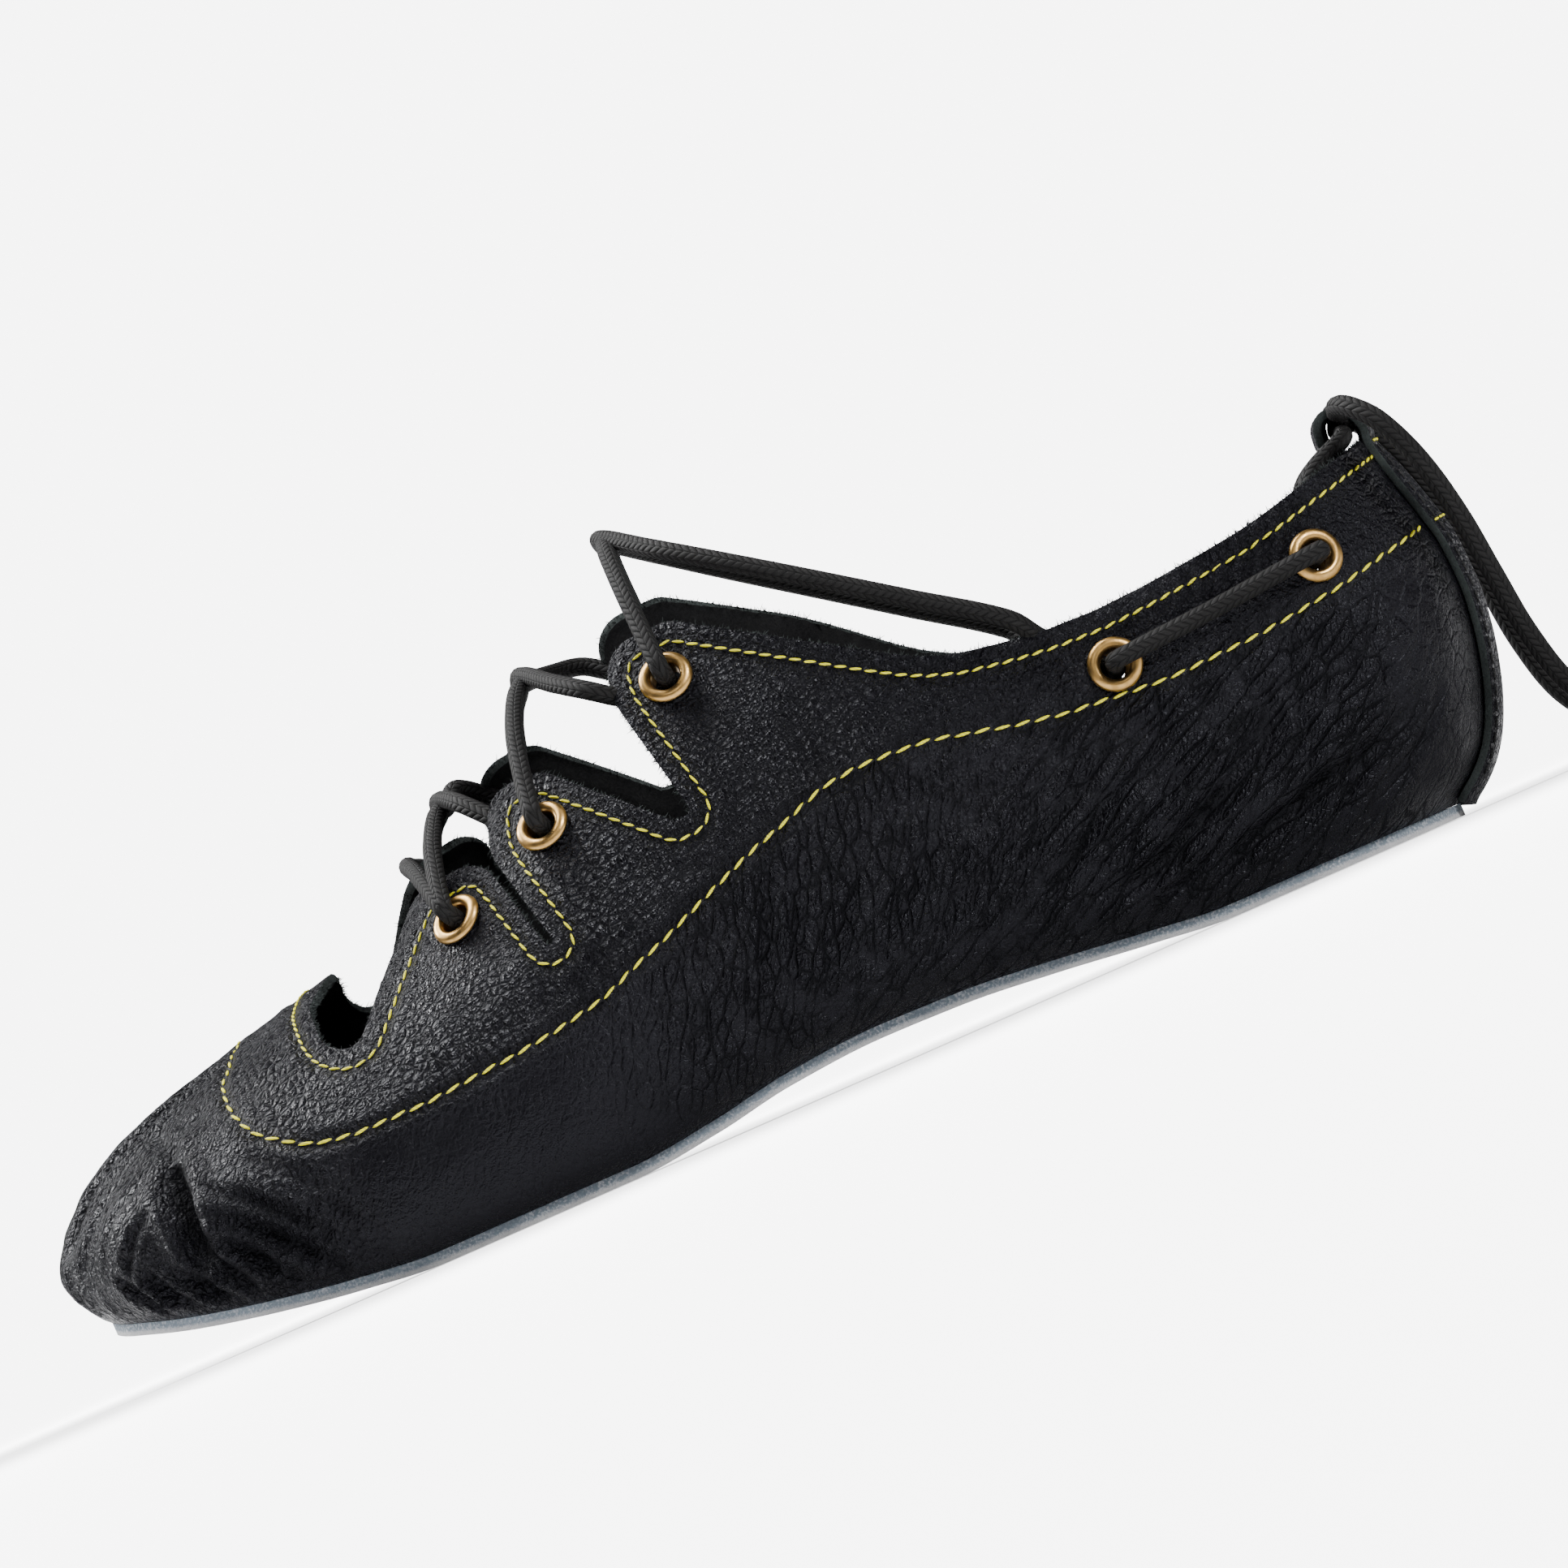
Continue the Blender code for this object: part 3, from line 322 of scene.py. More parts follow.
# Folds of the worn leather on either side: their line, depth, width and raised lips.
Fold = namedtuple("Fold", "depth width lip line")
FOLDS = [
    # the toe: a valley behind its crest, the deep hollow, and the wrinkles that spread from it
    Fold(3.3, 2.2, 0.32, [(41.0, 45.8), (33.0, 43.0), (25.2, 40.2), (17.5, 37.2), (11.2, 33.8), (5.6, 29.0),
                          (2.0, 24.4)]),
    Fold(3.8, 2.0, 0.4, [(25.0, 32.0), (24.4, 28.0), (24.4, 23.6), (24.2, 19.0), (24.4, 14.5)]),
    Fold(1.4, 1.3, 0.5, [(27.0, 23.2), (31.9, 19.5), (36.8, 14.9), (41.4, 9.7), (44.5, 5.1)]),
    Fold(1.4, 1.2, 0.5, [(26.5, 19.5), (30.9, 15.4), (34.1, 10.9), (36.5, 6.4)]),
    Fold(1.3, 1.1, 0.5, [(25.2, 17.0), (27.5, 12.5), (29.5, 8.2)]),
    Fold(1.0, 1.2, 0.5, [(26.6, 27.2), (30.7, 24.7), (35.8, 20.6), (40.6, 15.7), (45.0, 10.0)]),
    Fold(0.8, 1.4, 0.5, [(24.0, 37.8), (25.5, 34.5), (24.8, 30.5)]),
    Fold(1.3, 1.1, 0.5, [(10.2, 19.6), (13.3, 13.6), (16.1, 9.2)]),
    Fold(1.3, 1.1, 0.5, [(14.4, 18.8), (17.6, 12.6), (21.2, 8.0)]),
    Fold(1.3, 1.1, 0.5, [(19.6, 16.8), (23.1, 11.3), (27.1, 6.7)]),
    Fold(0.5, 0.9, 0.5, [(17.8, 33.8), (11.6, 30.2), (6.8, 25.4), (3.9, 19.7)]),
    Fold(0.55, 0.9, 0.5, [(20.7, 31.6), (14.5, 27.8), (9.8, 23.0), (7.6, 17.3)]),
    Fold(0.55, 0.9, 0.5, [(21.6, 27.4), (16.8, 24.2), (13.1, 20.0), (12.3, 15.2)]),
    Fold(0.5, 0.9, 0.5, [(3.4, 24.7), (2.1, 21.4), (3.0, 16.9), (6.1, 13.0)]),
    Fold(0.4, 1.0, 0.5, [(33.0, 30.0), (38.0, 27.5), (43.0, 23.0), (48.0, 17.0)]),
    Fold(0.4, 1.0, 0.5, [(44.0, 18.0), (49.0, 13.5), (53.0, 8.0)]),
    Fold(0.45, 1.3, 0.5, [(34.0, 38.5), (29.0, 36.8), (25.0, 33.4)]),
    # below the first slit
    Fold(0.4, 1.2, 0.5, [(99.0, 38.0), (102.0, 33.0), (104.0, 28.0)]),
    Fold(0.45, 1.2, 0.5, [(96.5, 36.0), (98.0, 31.0), (98.6, 26.5)]),
    Fold(0.35, 1.2, 0.5, [(92.0, 36.0), (91.0, 31.0), (92.0, 27.0)]),
    # the waist
    Fold(0.5, 1.5, 0.5, [(138.0, 16.0), (147.0, 21.0), (156.0, 28.0), (162.0, 35.0)]),
    Fold(0.5, 1.3, 0.5, [(126.0, 17.0), (131.0, 24.0), (135.0, 31.0), (137.5, 37.0)]),
    Fold(0.5, 1.2, 0.5, [(120.0, 16.0), (124.5, 22.0), (128.5, 29.0), (130.5, 35.0)]),
    Fold(0.45, 1.2, 0.5, [(131.0, 14.0), (137.0, 21.0), (143.0, 28.0), (147.0, 36.0)]),
    Fold(0.6, 1.6, 0.5, [(150.0, 17.0), (160.0, 20.5), (171.0, 26.5), (180.0, 33.5)]),
    # the long folds across the heel, and the ridge between the two deepest
    Fold(1.7, 1.5, 0.35, [(178.0, 11.4), (187.5, 12.1), (192.8, 13.4), (196.0, 15.5), (200.4, 17.2),
                          (204.5, 19.6), (208.7, 22.5), (213.0, 25.0), (217.0, 28.0)]),
    Fold(1.6, 1.4, 0.35, [(199.0, 7.4), (205.4, 10.4), (213.7, 12.0), (218.7, 14.0), (225.3, 15.3),
                          (230.0, 16.2), (234.0, 17.4), (239.0, 20.5)]),
    Fold(1.0, 1.1, 0.35, [(219.0, 7.6), (222.0, 10.2), (226.0, 13.1), (230.0, 15.2)]),
    Fold(1.0, 1.2, 0.35, [(163.0, 14.6), (165.4, 17.6), (170.8, 23.1), (176.0, 25.5), (181.3, 28.0),
                         (187.7, 31.7), (190.0, 34.3)]),
    Fold(1.0, 1.2, 0.35, [(169.0, 12.4), (171.2, 14.5), (175.5, 17.4), (179.2, 20.5), (185.1, 24.5),
                         (190.2, 26.5), (195.7, 28.2)]),
    Fold(0.9, 1.0, 0.5, [(184.0, 17.0), (189.5, 19.6), (195.3, 21.8), (200.3, 25.0), (205.5, 27.5)]),
    Fold(0.8, 1.0, 0.5, [(181.0, 14.6), (186.0, 16.0), (191.0, 18.4), (196.5, 19.0)]),
    Fold(0.7, 0.9, 0.5, [(203.0, 17.0), (208.0, 19.0), (213.0, 22.6), (218.0, 26.0)]),
    Fold(0.7, 0.9, 0.5, [(186.0, 7.4), (192.0, 8.4), (198.0, 10.8), (203.0, 14.0)]),
    Fold(0.7, 0.9, 0.5, [(208.0, 6.6), (213.0, 8.6), (219.0, 11.0), (224.0, 12.4)]),
    Fold(0.6, 0.9, 0.5, [(212.0, 17.0), (218.0, 18.6), (224.0, 21.6), (229.0, 26.0)]),
    Fold(0.6, 0.9, 0.5, [(222.0, 18.4), (229.0, 20.6), (235.0, 25.0), (239.0, 30.0)]),
    Fold(0.6, 0.9, 0.5, [(228.0, 8.4), (235.0, 12.0), (241.0, 17.0), (244.0, 22.0)]),
    Fold(0.5, 0.8, 0.5, [(158.0, 12.0), (161.0, 16.0), (164.0, 20.0), (168.0, 25.0)]),
    Fold(0.5, 0.8, 0.5, [(151.0, 13.0), (155.0, 18.0), (159.0, 22.0), (164.0, 28.0)]),
    Fold(0.5, 0.8, 0.5, [(193.0, 27.6), (198.0, 30.6), (202.0, 35.0)]),
    Fold(-0.6, 2.2, 0.3, [(186.0, 8.6), (192.5, 9.9), (204.6, 13.4), (215.8, 18.2), (226.6, 22.4)]),
    # short wrinkles below the last eyelet, and the gathers of the collar
    Fold(0.55, 0.9, 0.5, [(224.6, 41.6), (227.4, 35.6), (229.3, 29.6)]),
    Fold(0.5, 0.9, 0.5, [(228.1, 39.4), (230.4, 34.6), (232.4, 29.2)]),
    Fold(0.5, 0.9, 0.5, [(221.0, 42.0), (223.0, 36.4), (224.5, 30.7)]),
    Fold(0.5, 1.1, 0.5, [(235.0, 37.0), (236.6, 27.4), (235.4, 19.3)]),
    Fold(0.6, 0.9, 0.25, [(213.0, 55.0), (212.0, 50.5), (209.6, 46.4)]),
    Fold(0.65, 0.9, 0.25, [(217.0, 55.6), (216.0, 50.9), (213.4, 46.6)]),
    Fold(0.65, 0.9, 0.25, [(221.0, 56.0), (219.6, 51.4), (216.8, 47.0)]),
    Fold(0.65, 0.9, 0.25, [(224.8, 56.4), (223.2, 51.8), (220.4, 47.4)]),
    Fold(0.6, 0.9, 0.25, [(228.4, 57.0), (226.6, 52.4), (224.2, 48.0)]),
]
Swell = namedtuple("Swell", "at height rise width")
SWELLS = [
    Swell(14.5, 24.0, 2.4, 8.5),
    Swell(2.0, 19.0, 0.9, 8.0),
    Swell(29.5, 22.0, 1.5, 4.8),
    Swell(192.0, 21.0, 0.8, 5.5),
    Swell(205.0, 23.0, 0.6, 5.0),
    Swell(225.0, 20.5, 0.8, 5.5),
    Swell(240.0, 27.0, 0.4, 7.0),
]

WORN = {"near": 1.0, "far": 0.55}  # how deep the folds are on either side
FOLD_FADE = 0.6
UNEVEN = {13: 0.35, 5.2: 0.16}  # length and rise of the leather's slight waves
STILL_SOLE = (0.2, 2.5)  # above the sole the folds begin here, and are full this much higher
STILL_HEEL = (252.5, 6.0)  # they end at this place, and are full this far in front of it
STILL_SEAM = 2.0  # from the seam at the back of the heel
CREASE_SHADE_DEEP = 1.4  # depth at which a fold's painted shade is darkest

# Where one kind of grain gives way to another: above the vamp seam, along the shoe, and above the floor.
SEAM_BLEND = (-4.0, 6.0)
TOE_BLEND = (34.0, 64.0)
WAIST_BLEND = (88.0, 125.0)
HEEL_BLEND = (140.0, 190.0)
BACK_BLEND = (226.0, 244.0)
LEAN_BLEND = (150.0, 188.0)
LOW_LEAN_BLEND = (122.0, 145.0)
LOW_BLEND = (12.0, 22.0)

TOE_MIDDLE = 46.0
TOE_MIDDLE_Y = 6.0
PLEAT_DEEP = 0.55
PLEAT_TURN = 1.45  # radians for each millimetre round the toe
PLEAT_TOP = (19.0, 9.0)  # where the pleats end, and how far from there they are full
PLEAT_BACK = (58.0, 22.0)

STATION_STEP = 0.95
STATION_PROBES = 1500
TOP_ROWS = 58  # ridge to widest
FLANK_ROWS = 27  # widest to sole
MARGIN_ROWS = 3
QUARTER = 45.0  # flat length of a quarter turn of a section
SLAB = 2.0
HOLE_SIDES = 20
TIP_STEPS = 7
THROAT_TIP = 7.0  # reach of the round where the two sides of the throat meet on the ridge
INSIDE = Vector((0, 0, 0.03))
ARC_STEP = math.radians(7)
MERGE = 0.00001


def place(at, y, z):
    """A point in the shared frame from its distance behind the toe tip, its Y and its height."""
    return Vector(((at - SHOE_LENGTH / 2) * MM, (y - CENTRE_Y) * MM, z * MM))


def mixed(a, b, share):
    return a + (b - a) * share


def eased(start, end, value):
    t = min(max((value - start) / (end - start), 0.0), 1.0)
    return t * t * (3 - 2 * t)


def curve_through(knots, values):
    """A smooth curve through the values of a table that never swings past them."""
    knots = np.array(knots, float)
    values = np.array(values, float)
    step = np.diff(knots)
    slope = np.diff(values) / step
    tangent = np.concatenate([[slope[0]], np.zeros(len(slope) - 1), [slope[-1]]])
    for i in range(1, len(slope)):
        if slope[i - 1] * slope[i] > 0:
            before = 2 * step[i] + step[i - 1]
            after = step[i] + 2 * step[i - 1]
            tangent[i] = (before + after) / (before / slope[i - 1] + after / slope[i])

    def value(knot):
        knot = min(max(knot, knots[0]), knots[-1])
        i = min(max(int(np.searchsorted(knots, knot)) - 1, 0), len(step) - 1)
        t = (knot - knots[i]) / step[i]
        rise = t * t * (3 - 2 * t)
        bow = step[i] * (t * (1 - t) ** 2 * tangent[i] - t * t * (1 - t) * tangent[i + 1])
        return float(values[i] * (1 - rise) + values[i + 1] * rise + bow)

    return value


def rounded(at, start, end):
    """The place as an angle from 0 to pi, so that a curve over it closes round at both ends."""
    share = min(max((at - start) / (end - start), 0.0), 1.0)
    return math.acos(1 - 2 * share)


def table_curves(rows, start, end):
    knots = [rounded(row.at, start, end) for row in rows]
    return {name: curve_through(knots, [getattr(row, name) for row in rows]) for name in rows[0]._fields[1:]}


FORM = table_curves(SECTIONS, 0, FORM_LENGTH)
TREAD = table_curves(TREADS, 0, FORM_LENGTH)
SOLE = table_curves(OUTLINE, SOLE_TOE, SOLE_HEEL)
BACK = curve_through([row.height for row in BACKS], [row.at for row in BACKS])
SEAM_HEIGHT = curve_through([at for at, _ in VAMP_SEAM[8:]], [z for _, z in VAMP_SEAM[8:]])


@functools.cache
def form_at(section):
    angle = rounded(section, 0, FORM_LENGTH)
    return Section(section, *[FORM[name](angle) for name in Section._fields[1:]])


def widest(side, form):
    return form.inner if side == INNER else -form.outer


def sole_edge(side, at):
    angle = rounded(at, SOLE_TOE, SOLE_HEEL)
    return SOLE["inner"](angle) if side == INNER else -SOLE["outer"](angle)


def sole_top(at, y):
    """Height of the sole's upper face, which leans with the arch."""
    angle = rounded(at, 0, FORM_LENGTH)
    outer_edge = sole_edge(OUTER, at)
    width = max(sole_edge(INNER, at) - outer_edge, 0.1)
    across = min(max((y - outer_edge) / width, 0.0), 1.0)
    return mixed(TREAD["outer"](angle), TREAD["inner"](angle), across) + SOLE_THICK


def heel_pulled(section, z):
    """The place of a section's point once the section has bent to the heel's back line."""
    pull = max((section - HEEL_PULL_FROM) / (FORM_LENGTH - HEEL_PULL_FROM), 0.0) ** 2
    return section + (BACK(z) - FORM_LENGTH) * pull


def solved(low, high, is_below):
    """The value between low and high where is_below turns from true to false."""
    for _ in range(30):
        middle = (low + high) / 2
        if is_below(middle):
            low = middle
        else:
            high = middle
    return (low + high) / 2


def section_of(at, z):
    """The section whose point at height z lies at this place."""
    if at <= HEEL_PULL_FROM:
        return at
    return solved(HEEL_PULL_FROM, FORM_LENGTH, lambda section: heel_pulled(section, z) < at)


@functools.cache
def sole_line(side, section):
    """The section's point on the sole's edge."""
    at = heel_pulled(section, BACKS[0].height)
    y = sole_edge(side, at)
    return at, y, sole_top(at, y) + SEAT


def form_point(side, section, turn):
    """A point of the upper's outer face. turn is 0 on the ridge, 1 at the widest, 2 on the sole's edge and
    3 at the end of the turned-in margin."""
    form = form_at(section)
    wide = widest(side, form)
    edge_at, edge_y, edge_z = sole_line(side, section)
    if turn <= 1:
        power = 2 / form.fullness
        y = mixed(form.ridge, wide, math.sin(turn * math.pi / 2) ** power)
        z = mixed(form.belly, form.crest, max(math.cos(turn * math.pi / 2), 0.0) ** power)
    elif turn <= 2:
        angle = (turn - 1) * math.pi / 2
        y = mixed(edge_y, wide, max(math.cos(angle), 0.0))
        z = mixed(form.belly, edge_z, math.sin(angle))
    else:
        middle = (edge_y + sole_edge(-side, edge_at)) / 2
        y = edge_y - side * min(MARGIN * (turn - 2), abs(edge_y - middle))
        return edge_at, y, sole_top(edge_at, y) + SEAT
    return heel_pulled(section, z), y, z


def section_y(side, section, z):
    """Y of the upper's outer face on a section, at a height."""
    form = form_at(section)
    wide = widest(side, form)
    if z >= form.belly:
        up = min((z - form.belly) / max(form.crest - form.belly, 0.1), 1.0)
        return mixed(form.ridge, wide, (1 - up**form.fullness) ** (1 / form.fullness))
    _, edge_y, edge_z = sole_line(side, section)
    down = min((form.belly - z) / max(form.belly - edge_z, 0.1), 1.0)
    return mixed(edge_y, wide, math.sqrt(1 - down * down))


def beyond(side, point):
    """How far outside the upper a point is: 0 on its outer face, and more outside."""
    at, y, z = point
    form = form_at(section_of(at, z))
    wide = widest(side, form)
    if z >= form.belly:
        out = max(side * (y - form.ridge), 0.0) / (side * (wide - form.ridge))
        up = (z - form.belly) / (form.crest - form.belly)
        return out**form.fullness + up**form.fullness - 1
    _, edge_y, edge_z = sole_line(side, form.at)
    out = max(side * (y - edge_y), 0.0) / (side * (wide - edge_y))
    down = (form.belly - z) / (form.belly - edge_z)
    return out**2 + down**2 - 1


def wall_normal(side, point):
    steps = [Vector((PROBE, 0, 0)), Vector((0, PROBE, 0)), Vector((0, 0, PROBE))]
    return Vector([beyond(side, point + step) - beyond(side, point - step) for step in steps]).normalized()


def on_wall(side, at, z, lift=0.0):
    """A point on the upper's outer face, lifted off it."""
    z = min(z, form_at(section_of(at, z)).crest - RIDGE_CLEAR)
    point = Vector((at, section_y(side, section_of(at, z), z), z))
    return point + lift * wall_normal(side, point)


def on_ridge(at, lift):
    form = form_at(at)
    slope = (form_at(at + 1).crest - form_at(at - 1).crest) / 2
    return Vector((at, form.ridge, form.crest)) + lift * Vector((-slope, 0, 1)).normalized()


def tab_lean(at):
    return TAB_LEAN * eased(*LEAN_STARTS, at) * (1 - eased(*LEAN_ENDS, at))


def side_height(side, at, z):
    """The height on either side of a point that is given on the outer side."""
    if side == OUTER:
        return z
    height = z
    for _ in range(3):
        height = z + tab_lean(at) * (section_y(INNER, section_of(at, height), height) - LEAN_FROM_Y)
    return height


def heel_point(y, z, lift):
    """A point on the back of the heel, lifted off the upper's outer face."""

    def back_at(y, z):
        side = INNER if y >= 0 else OUTER

        def wider(section):
            return abs(section_y(side, section, z)) > abs(y)

        return heel_pulled(solved(HEEL_PULL_FROM, FORM_LENGTH, wider), z)

    sideways = (back_at(y + PROBE, z) - back_at(y - PROBE, z)) / (2 * PROBE)
    upward = (back_at(y, z + PROBE) - back_at(y, z - PROBE)) / (2 * PROBE)
    return Vector((back_at(y, z), y, z)) + lift * Vector((1, -sideways, -upward)).normalized()


def filleted(corners):
    """The corners' outline with an arc of each corner's radius, as places and heights."""
    points = []
    for i, corner in enumerate(corners):
        here = Vector((corner.at, corner.height))
        if corner.radius == 0:
            points.append(here)
            continue
        before = (Vector(corners[i - 1][:2]) - here).normalized()
        after = (Vector(corners[i + 1][:2]) - here).normalized()
        half = before.angle(after) / 2
        centre = here + (before + after).normalized() * corner.radius / math.sin(half)
        start = here + before * corner.radius / math.tan(half) - centre
        sweep = start.angle_signed(here + after * corner.radius / math.tan(half) - centre)
        steps = max(3, math.ceil(abs(sweep) / ARC_STEP))
        for k in range(steps + 1):
            points.append(centre + Matrix.Rotation(-sweep * k / steps, 2) @ start)
    return points


def spaced(points, step):
    """Points about a step apart along straight lines between the given ones."""
    result = []
    for a, b in zip(points, points[1:]):
        count = math.ceil((b - a).length / step)
        result += [mixed(a, b, k / count) for k in range(count)]
    return result + [points[-1]]


def smooth_route(points, step):
    """Points about a step apart on a smooth curve through the given ones."""
    points = [Vector(point) for point in points]
    gaps = [(b - a).length for a, b in zip(points, points[1:])]
    tangents = [(points[1] - points[0]) / gaps[0]]
    for i in range(1, len(points) - 1):
        tangents.append((points[i + 1] - points[i - 1]) / (gaps[i - 1] + gaps[i]))
    tangents.append((points[-1] - points[-2]) / gaps[-1])
    route = []
    for i, gap in enumerate(gaps):
        steps = max(1, round(gap / step))
        for k in range(steps):
            t = k / steps
            rise = t * t * (3 - 2 * t)
            bow = gap * (t * (1 - t) ** 2 * tangents[i] - t * t * (1 - t) * tangents[i + 1])
            route.append(mixed(points[i], points[i + 1], rise) + bow)
    return route + [points[-1]]


def evenly(route, step):
    """The route again, with its points exactly a step apart."""
    result = [route[0]]
    left = step
    for a, b in zip(route, route[1:]):
        gap = (b - a).length
        done = 0.0
        while gap - done >= left:
            done += left
            result.append(mixed(a, b, done / gap))
            left = step
        left -= gap - done
    return result


def lengths_along(points):
    """How far along the line each of its points is."""
    return np.concatenate([[0], np.cumsum([(b - a).length for a, b in zip(points, points[1:])])])


# Camera, light and floor

CAMERA_AWAY = 2.5
CAMERA_HEIGHT = 0.006
CAMERA_AIM = Vector((0.0121, -0.012, 0.0489))
CAMERA_ROLL = math.radians(23.7)
FRAME_WIDTH = 0.2535  # of the photograph, at the shoe
WHITE = 7.0
STUDIO_DIM = 0.03
FLOOR_GLOW = 1.2
FLOOR_HALF = 4.0
FLOOR_LOW = 0.0001  # below the sole


def make_camera():
    data = bpy.data.cameras.new("camera")
    data.sensor_width = 36
    data.lens = data.sensor_width * CAMERA_AWAY / FRAME_WIDTH
    camera = bpy.data.objects.new("camera", data)
    bpy.context.scene.collection.objects.link(camera)
    eye = Vector((CAMERA_AIM.x, CAMERA_AIM.y - CAMERA_AWAY, CAMERA_HEIGHT))
    ahead = (CAMERA_AIM - eye).normalized()
    right = ahead.cross(Vector((math.sin(CAMERA_ROLL), 0, math.cos(CAMERA_ROLL)))).normalized()
    turned = Matrix((right, right.cross(ahead), -ahead)).transposed()
    camera.matrix_world = Matrix.Translation(eye) @ turned.to_4x4()
    bpy.context.scene.camera = camera


def add_softbox(name, at, aim, size, watts):
    light = bpy.data.lights.new(name, "AREA")
    light.shape = "RECTANGLE"
    light.size, light.size_y = size
    light.energy = watts
    box = bpy.data.objects.new(name, light)
    aimed = (Vector(aim) - Vector(at)).to_track_quat("-Z", "Y")
    box.matrix_world = Matrix.Translation(at) @ aimed.to_matrix().to_4x4()
    bpy.context.scene.collection.objects.link(box)


def make_studio():
    add_softbox("top_softbox", (-0.25, 0.2, 1.0), (-0.02, 0, 0.03), (0.65, 0.5), 20)
    add_softbox("toe_softbox", (-0.8, 0.6, 0.75), (-0.06, 0, 0.03), (0.45, 0.45), 20)
    add_softbox("heel_softbox", (0.9, -0.8, 0.9), (0.08, 0, 0.03), (0.4, 0.4), 20)
    add_softbox("front_softbox", (-0.2, -1.9, 1.3), (0, 0, 0.04), (0.9, 0.6), 4.5)
    world = bpy.data.worlds.new("white_studio")
    bpy.context.scene.world = world
    world.use_nodes = True
    tree = world.node_tree
    background = tree.nodes["Background"]
    path = add_node(tree, "ShaderNodeLightPath")
    values = {"Value": path.outputs["Is Camera Ray"], "To Min": STUDIO_DIM, "To Max": WHITE}
    strength = add_node(tree, "ShaderNodeMapRange", values)
    background.inputs["Color"].default_value = (1, 1, 1, 1)
    tree.links.new(strength.outputs["Result"], background.inputs["Strength"])
    bm = bmesh.new()
    bmesh.ops.create_grid(bm, x_segments=1, y_segments=1, size=FLOOR_HALF)
    bmesh.ops.translate(bm, verts=bm.verts, vec=(0, 0, -FLOOR_LOW))
    new_object("floor", bm, [floor_paint()])


# Node helpers


def add_node(tree, kind, values=None, **settings):
    made = tree.nodes.new(kind)
    for name, value in settings.items():
        setattr(made, name, value)
    for socket, value in (values or {}).items():
        if isinstance(value, bpy.types.NodeSocket):
            tree.links.new(value, made.inputs[socket])
        else:
            made.inputs[socket].default_value = value
    return made


def calc(tree, operation, first, second=0.0, third=0.0):
    return add_node(tree, "ShaderNodeMath", {0: first, 1: second, 2: third}, operation=operation).outputs[0]


def ramped(tree, value, low, high, to_low=0.0, to_high=1.0):
    values = {"Value": value, "From Min": low, "From Max": high, "To Min": to_low, "To Max": to_high}
    return add_node(tree, "ShaderNodeMapRange", values, interpolation_type="SMOOTHSTEP").outputs["Result"]


def blended(tree, share, first, second):
    """The first colour, or the second to a share."""
    ends = [value if isinstance(value, bpy.types.NodeSocket) else (*value, 1) for value in (first, second)]
    return add_node(tree, "ShaderNodeMix", {0: share, 6: ends[0], 7: ends[1]}, data_type="RGBA").outputs[2]


def blended_value(tree, share, first, second):
    """The first value, or the second to a share."""
    return calc(tree, "MULTIPLY_ADD", share, calc(tree, "SUBTRACT", second, first), first)


def product(tree, first, second):
    return calc(tree, "MULTIPLY", first, second)


def vector_math(tree, operation, values):
    return add_node(tree, "ShaderNodeVectorMath", values, operation=operation).outputs[0]


def clouds(tree, coords, scale, detail):
    values = {"Vector": coords, "Scale": scale, "Detail": detail}
    return add_node(tree, "ShaderNodeTexNoise", values).outputs["Fac"]


def cell_edges(tree, coords, scale):
    """Distance from the edges of a pattern of cells, with so many cells a metre."""
    values = {"Vector": coords, "Scale": scale}
    return add_node(tree, "ShaderNodeTexVoronoi", values, feature="DISTANCE_TO_EDGE").outputs["Distance"]


def new_group(name, defaults, outputs):
    """A group with a Vector input, value inputs with their defaults, and value outputs."""
    group = bpy.data.node_groups.new(name, "ShaderNodeTree")
    group.interface.new_socket("Vector", in_out="INPUT", socket_type="NodeSocketVector")
    for socket, default in defaults.items():
        made = group.interface.new_socket(socket, in_out="INPUT", socket_type="NodeSocketFloat")
        made.default_value = default
    for socket in outputs:
        group.interface.new_socket(socket, in_out="OUTPUT", socket_type="NodeSocketFloat")
    return group, group.nodes.new("NodeGroupInput").outputs, group.nodes.new("NodeGroupOutput").inputs


def use_group(tree, group, values):
    return add_node(tree, "ShaderNodeGroup", values, node_tree=group).outputs


def socket_name(word):
    return word.replace("_", " ").title().replace("Ior", "IOR")


def new_paint(name, **sockets):
    """A material with its shader, whose plain values are set by socket name."""
    material = bpy.data.materials.new(name)
    material.use_nodes = True
    shader = material.node_tree.nodes["Principled BSDF"]
    for word, value in sockets.items():
        shader.inputs[socket_name(word)].default_value = value
    return material, material.node_tree, shader


def feed(tree, shader, **sockets):
    """Links values of the node tree to the shader by socket name."""
    for word, value in sockets.items():
        tree.links.new(value, shader.inputs[socket_name(word)])


def object_coords(tree):
    return add_node(tree, "ShaderNodeTexCoord").outputs["Object"]


def bumped(tree, shader, height, depth):
    bump = add_node(tree, "ShaderNodeBump", {"Height": height, "Distance": depth * MM})
    feed(tree, shader, normal=bump.outputs["Normal"])


WAIST_CRACKLE = (520.0, 2.5, math.radians(64))  # cells a metre, stretch and lean
HEEL_CRACKLE = (400.0, 4.2, math.radians(27))
FINE_CRACKLE = (1250.0, 1.4, math.radians(50))


PEBBLES = 640.0  # a metre
FINE_PEBBLES = 1472.0
WOBBLE = 1.2  # of the pattern's lines
# The last layer is painted shade: a darker colour in the hollows of the folds.
GRAIN_AND_SHADE_LAYERS = ("pebble", "crackle", "heelward", "crease_shade")
PLAIN_GRAIN = (0.8, 0.3, 1.0, 0.0)  # the same where a piece has no layers, with no painted crease shade
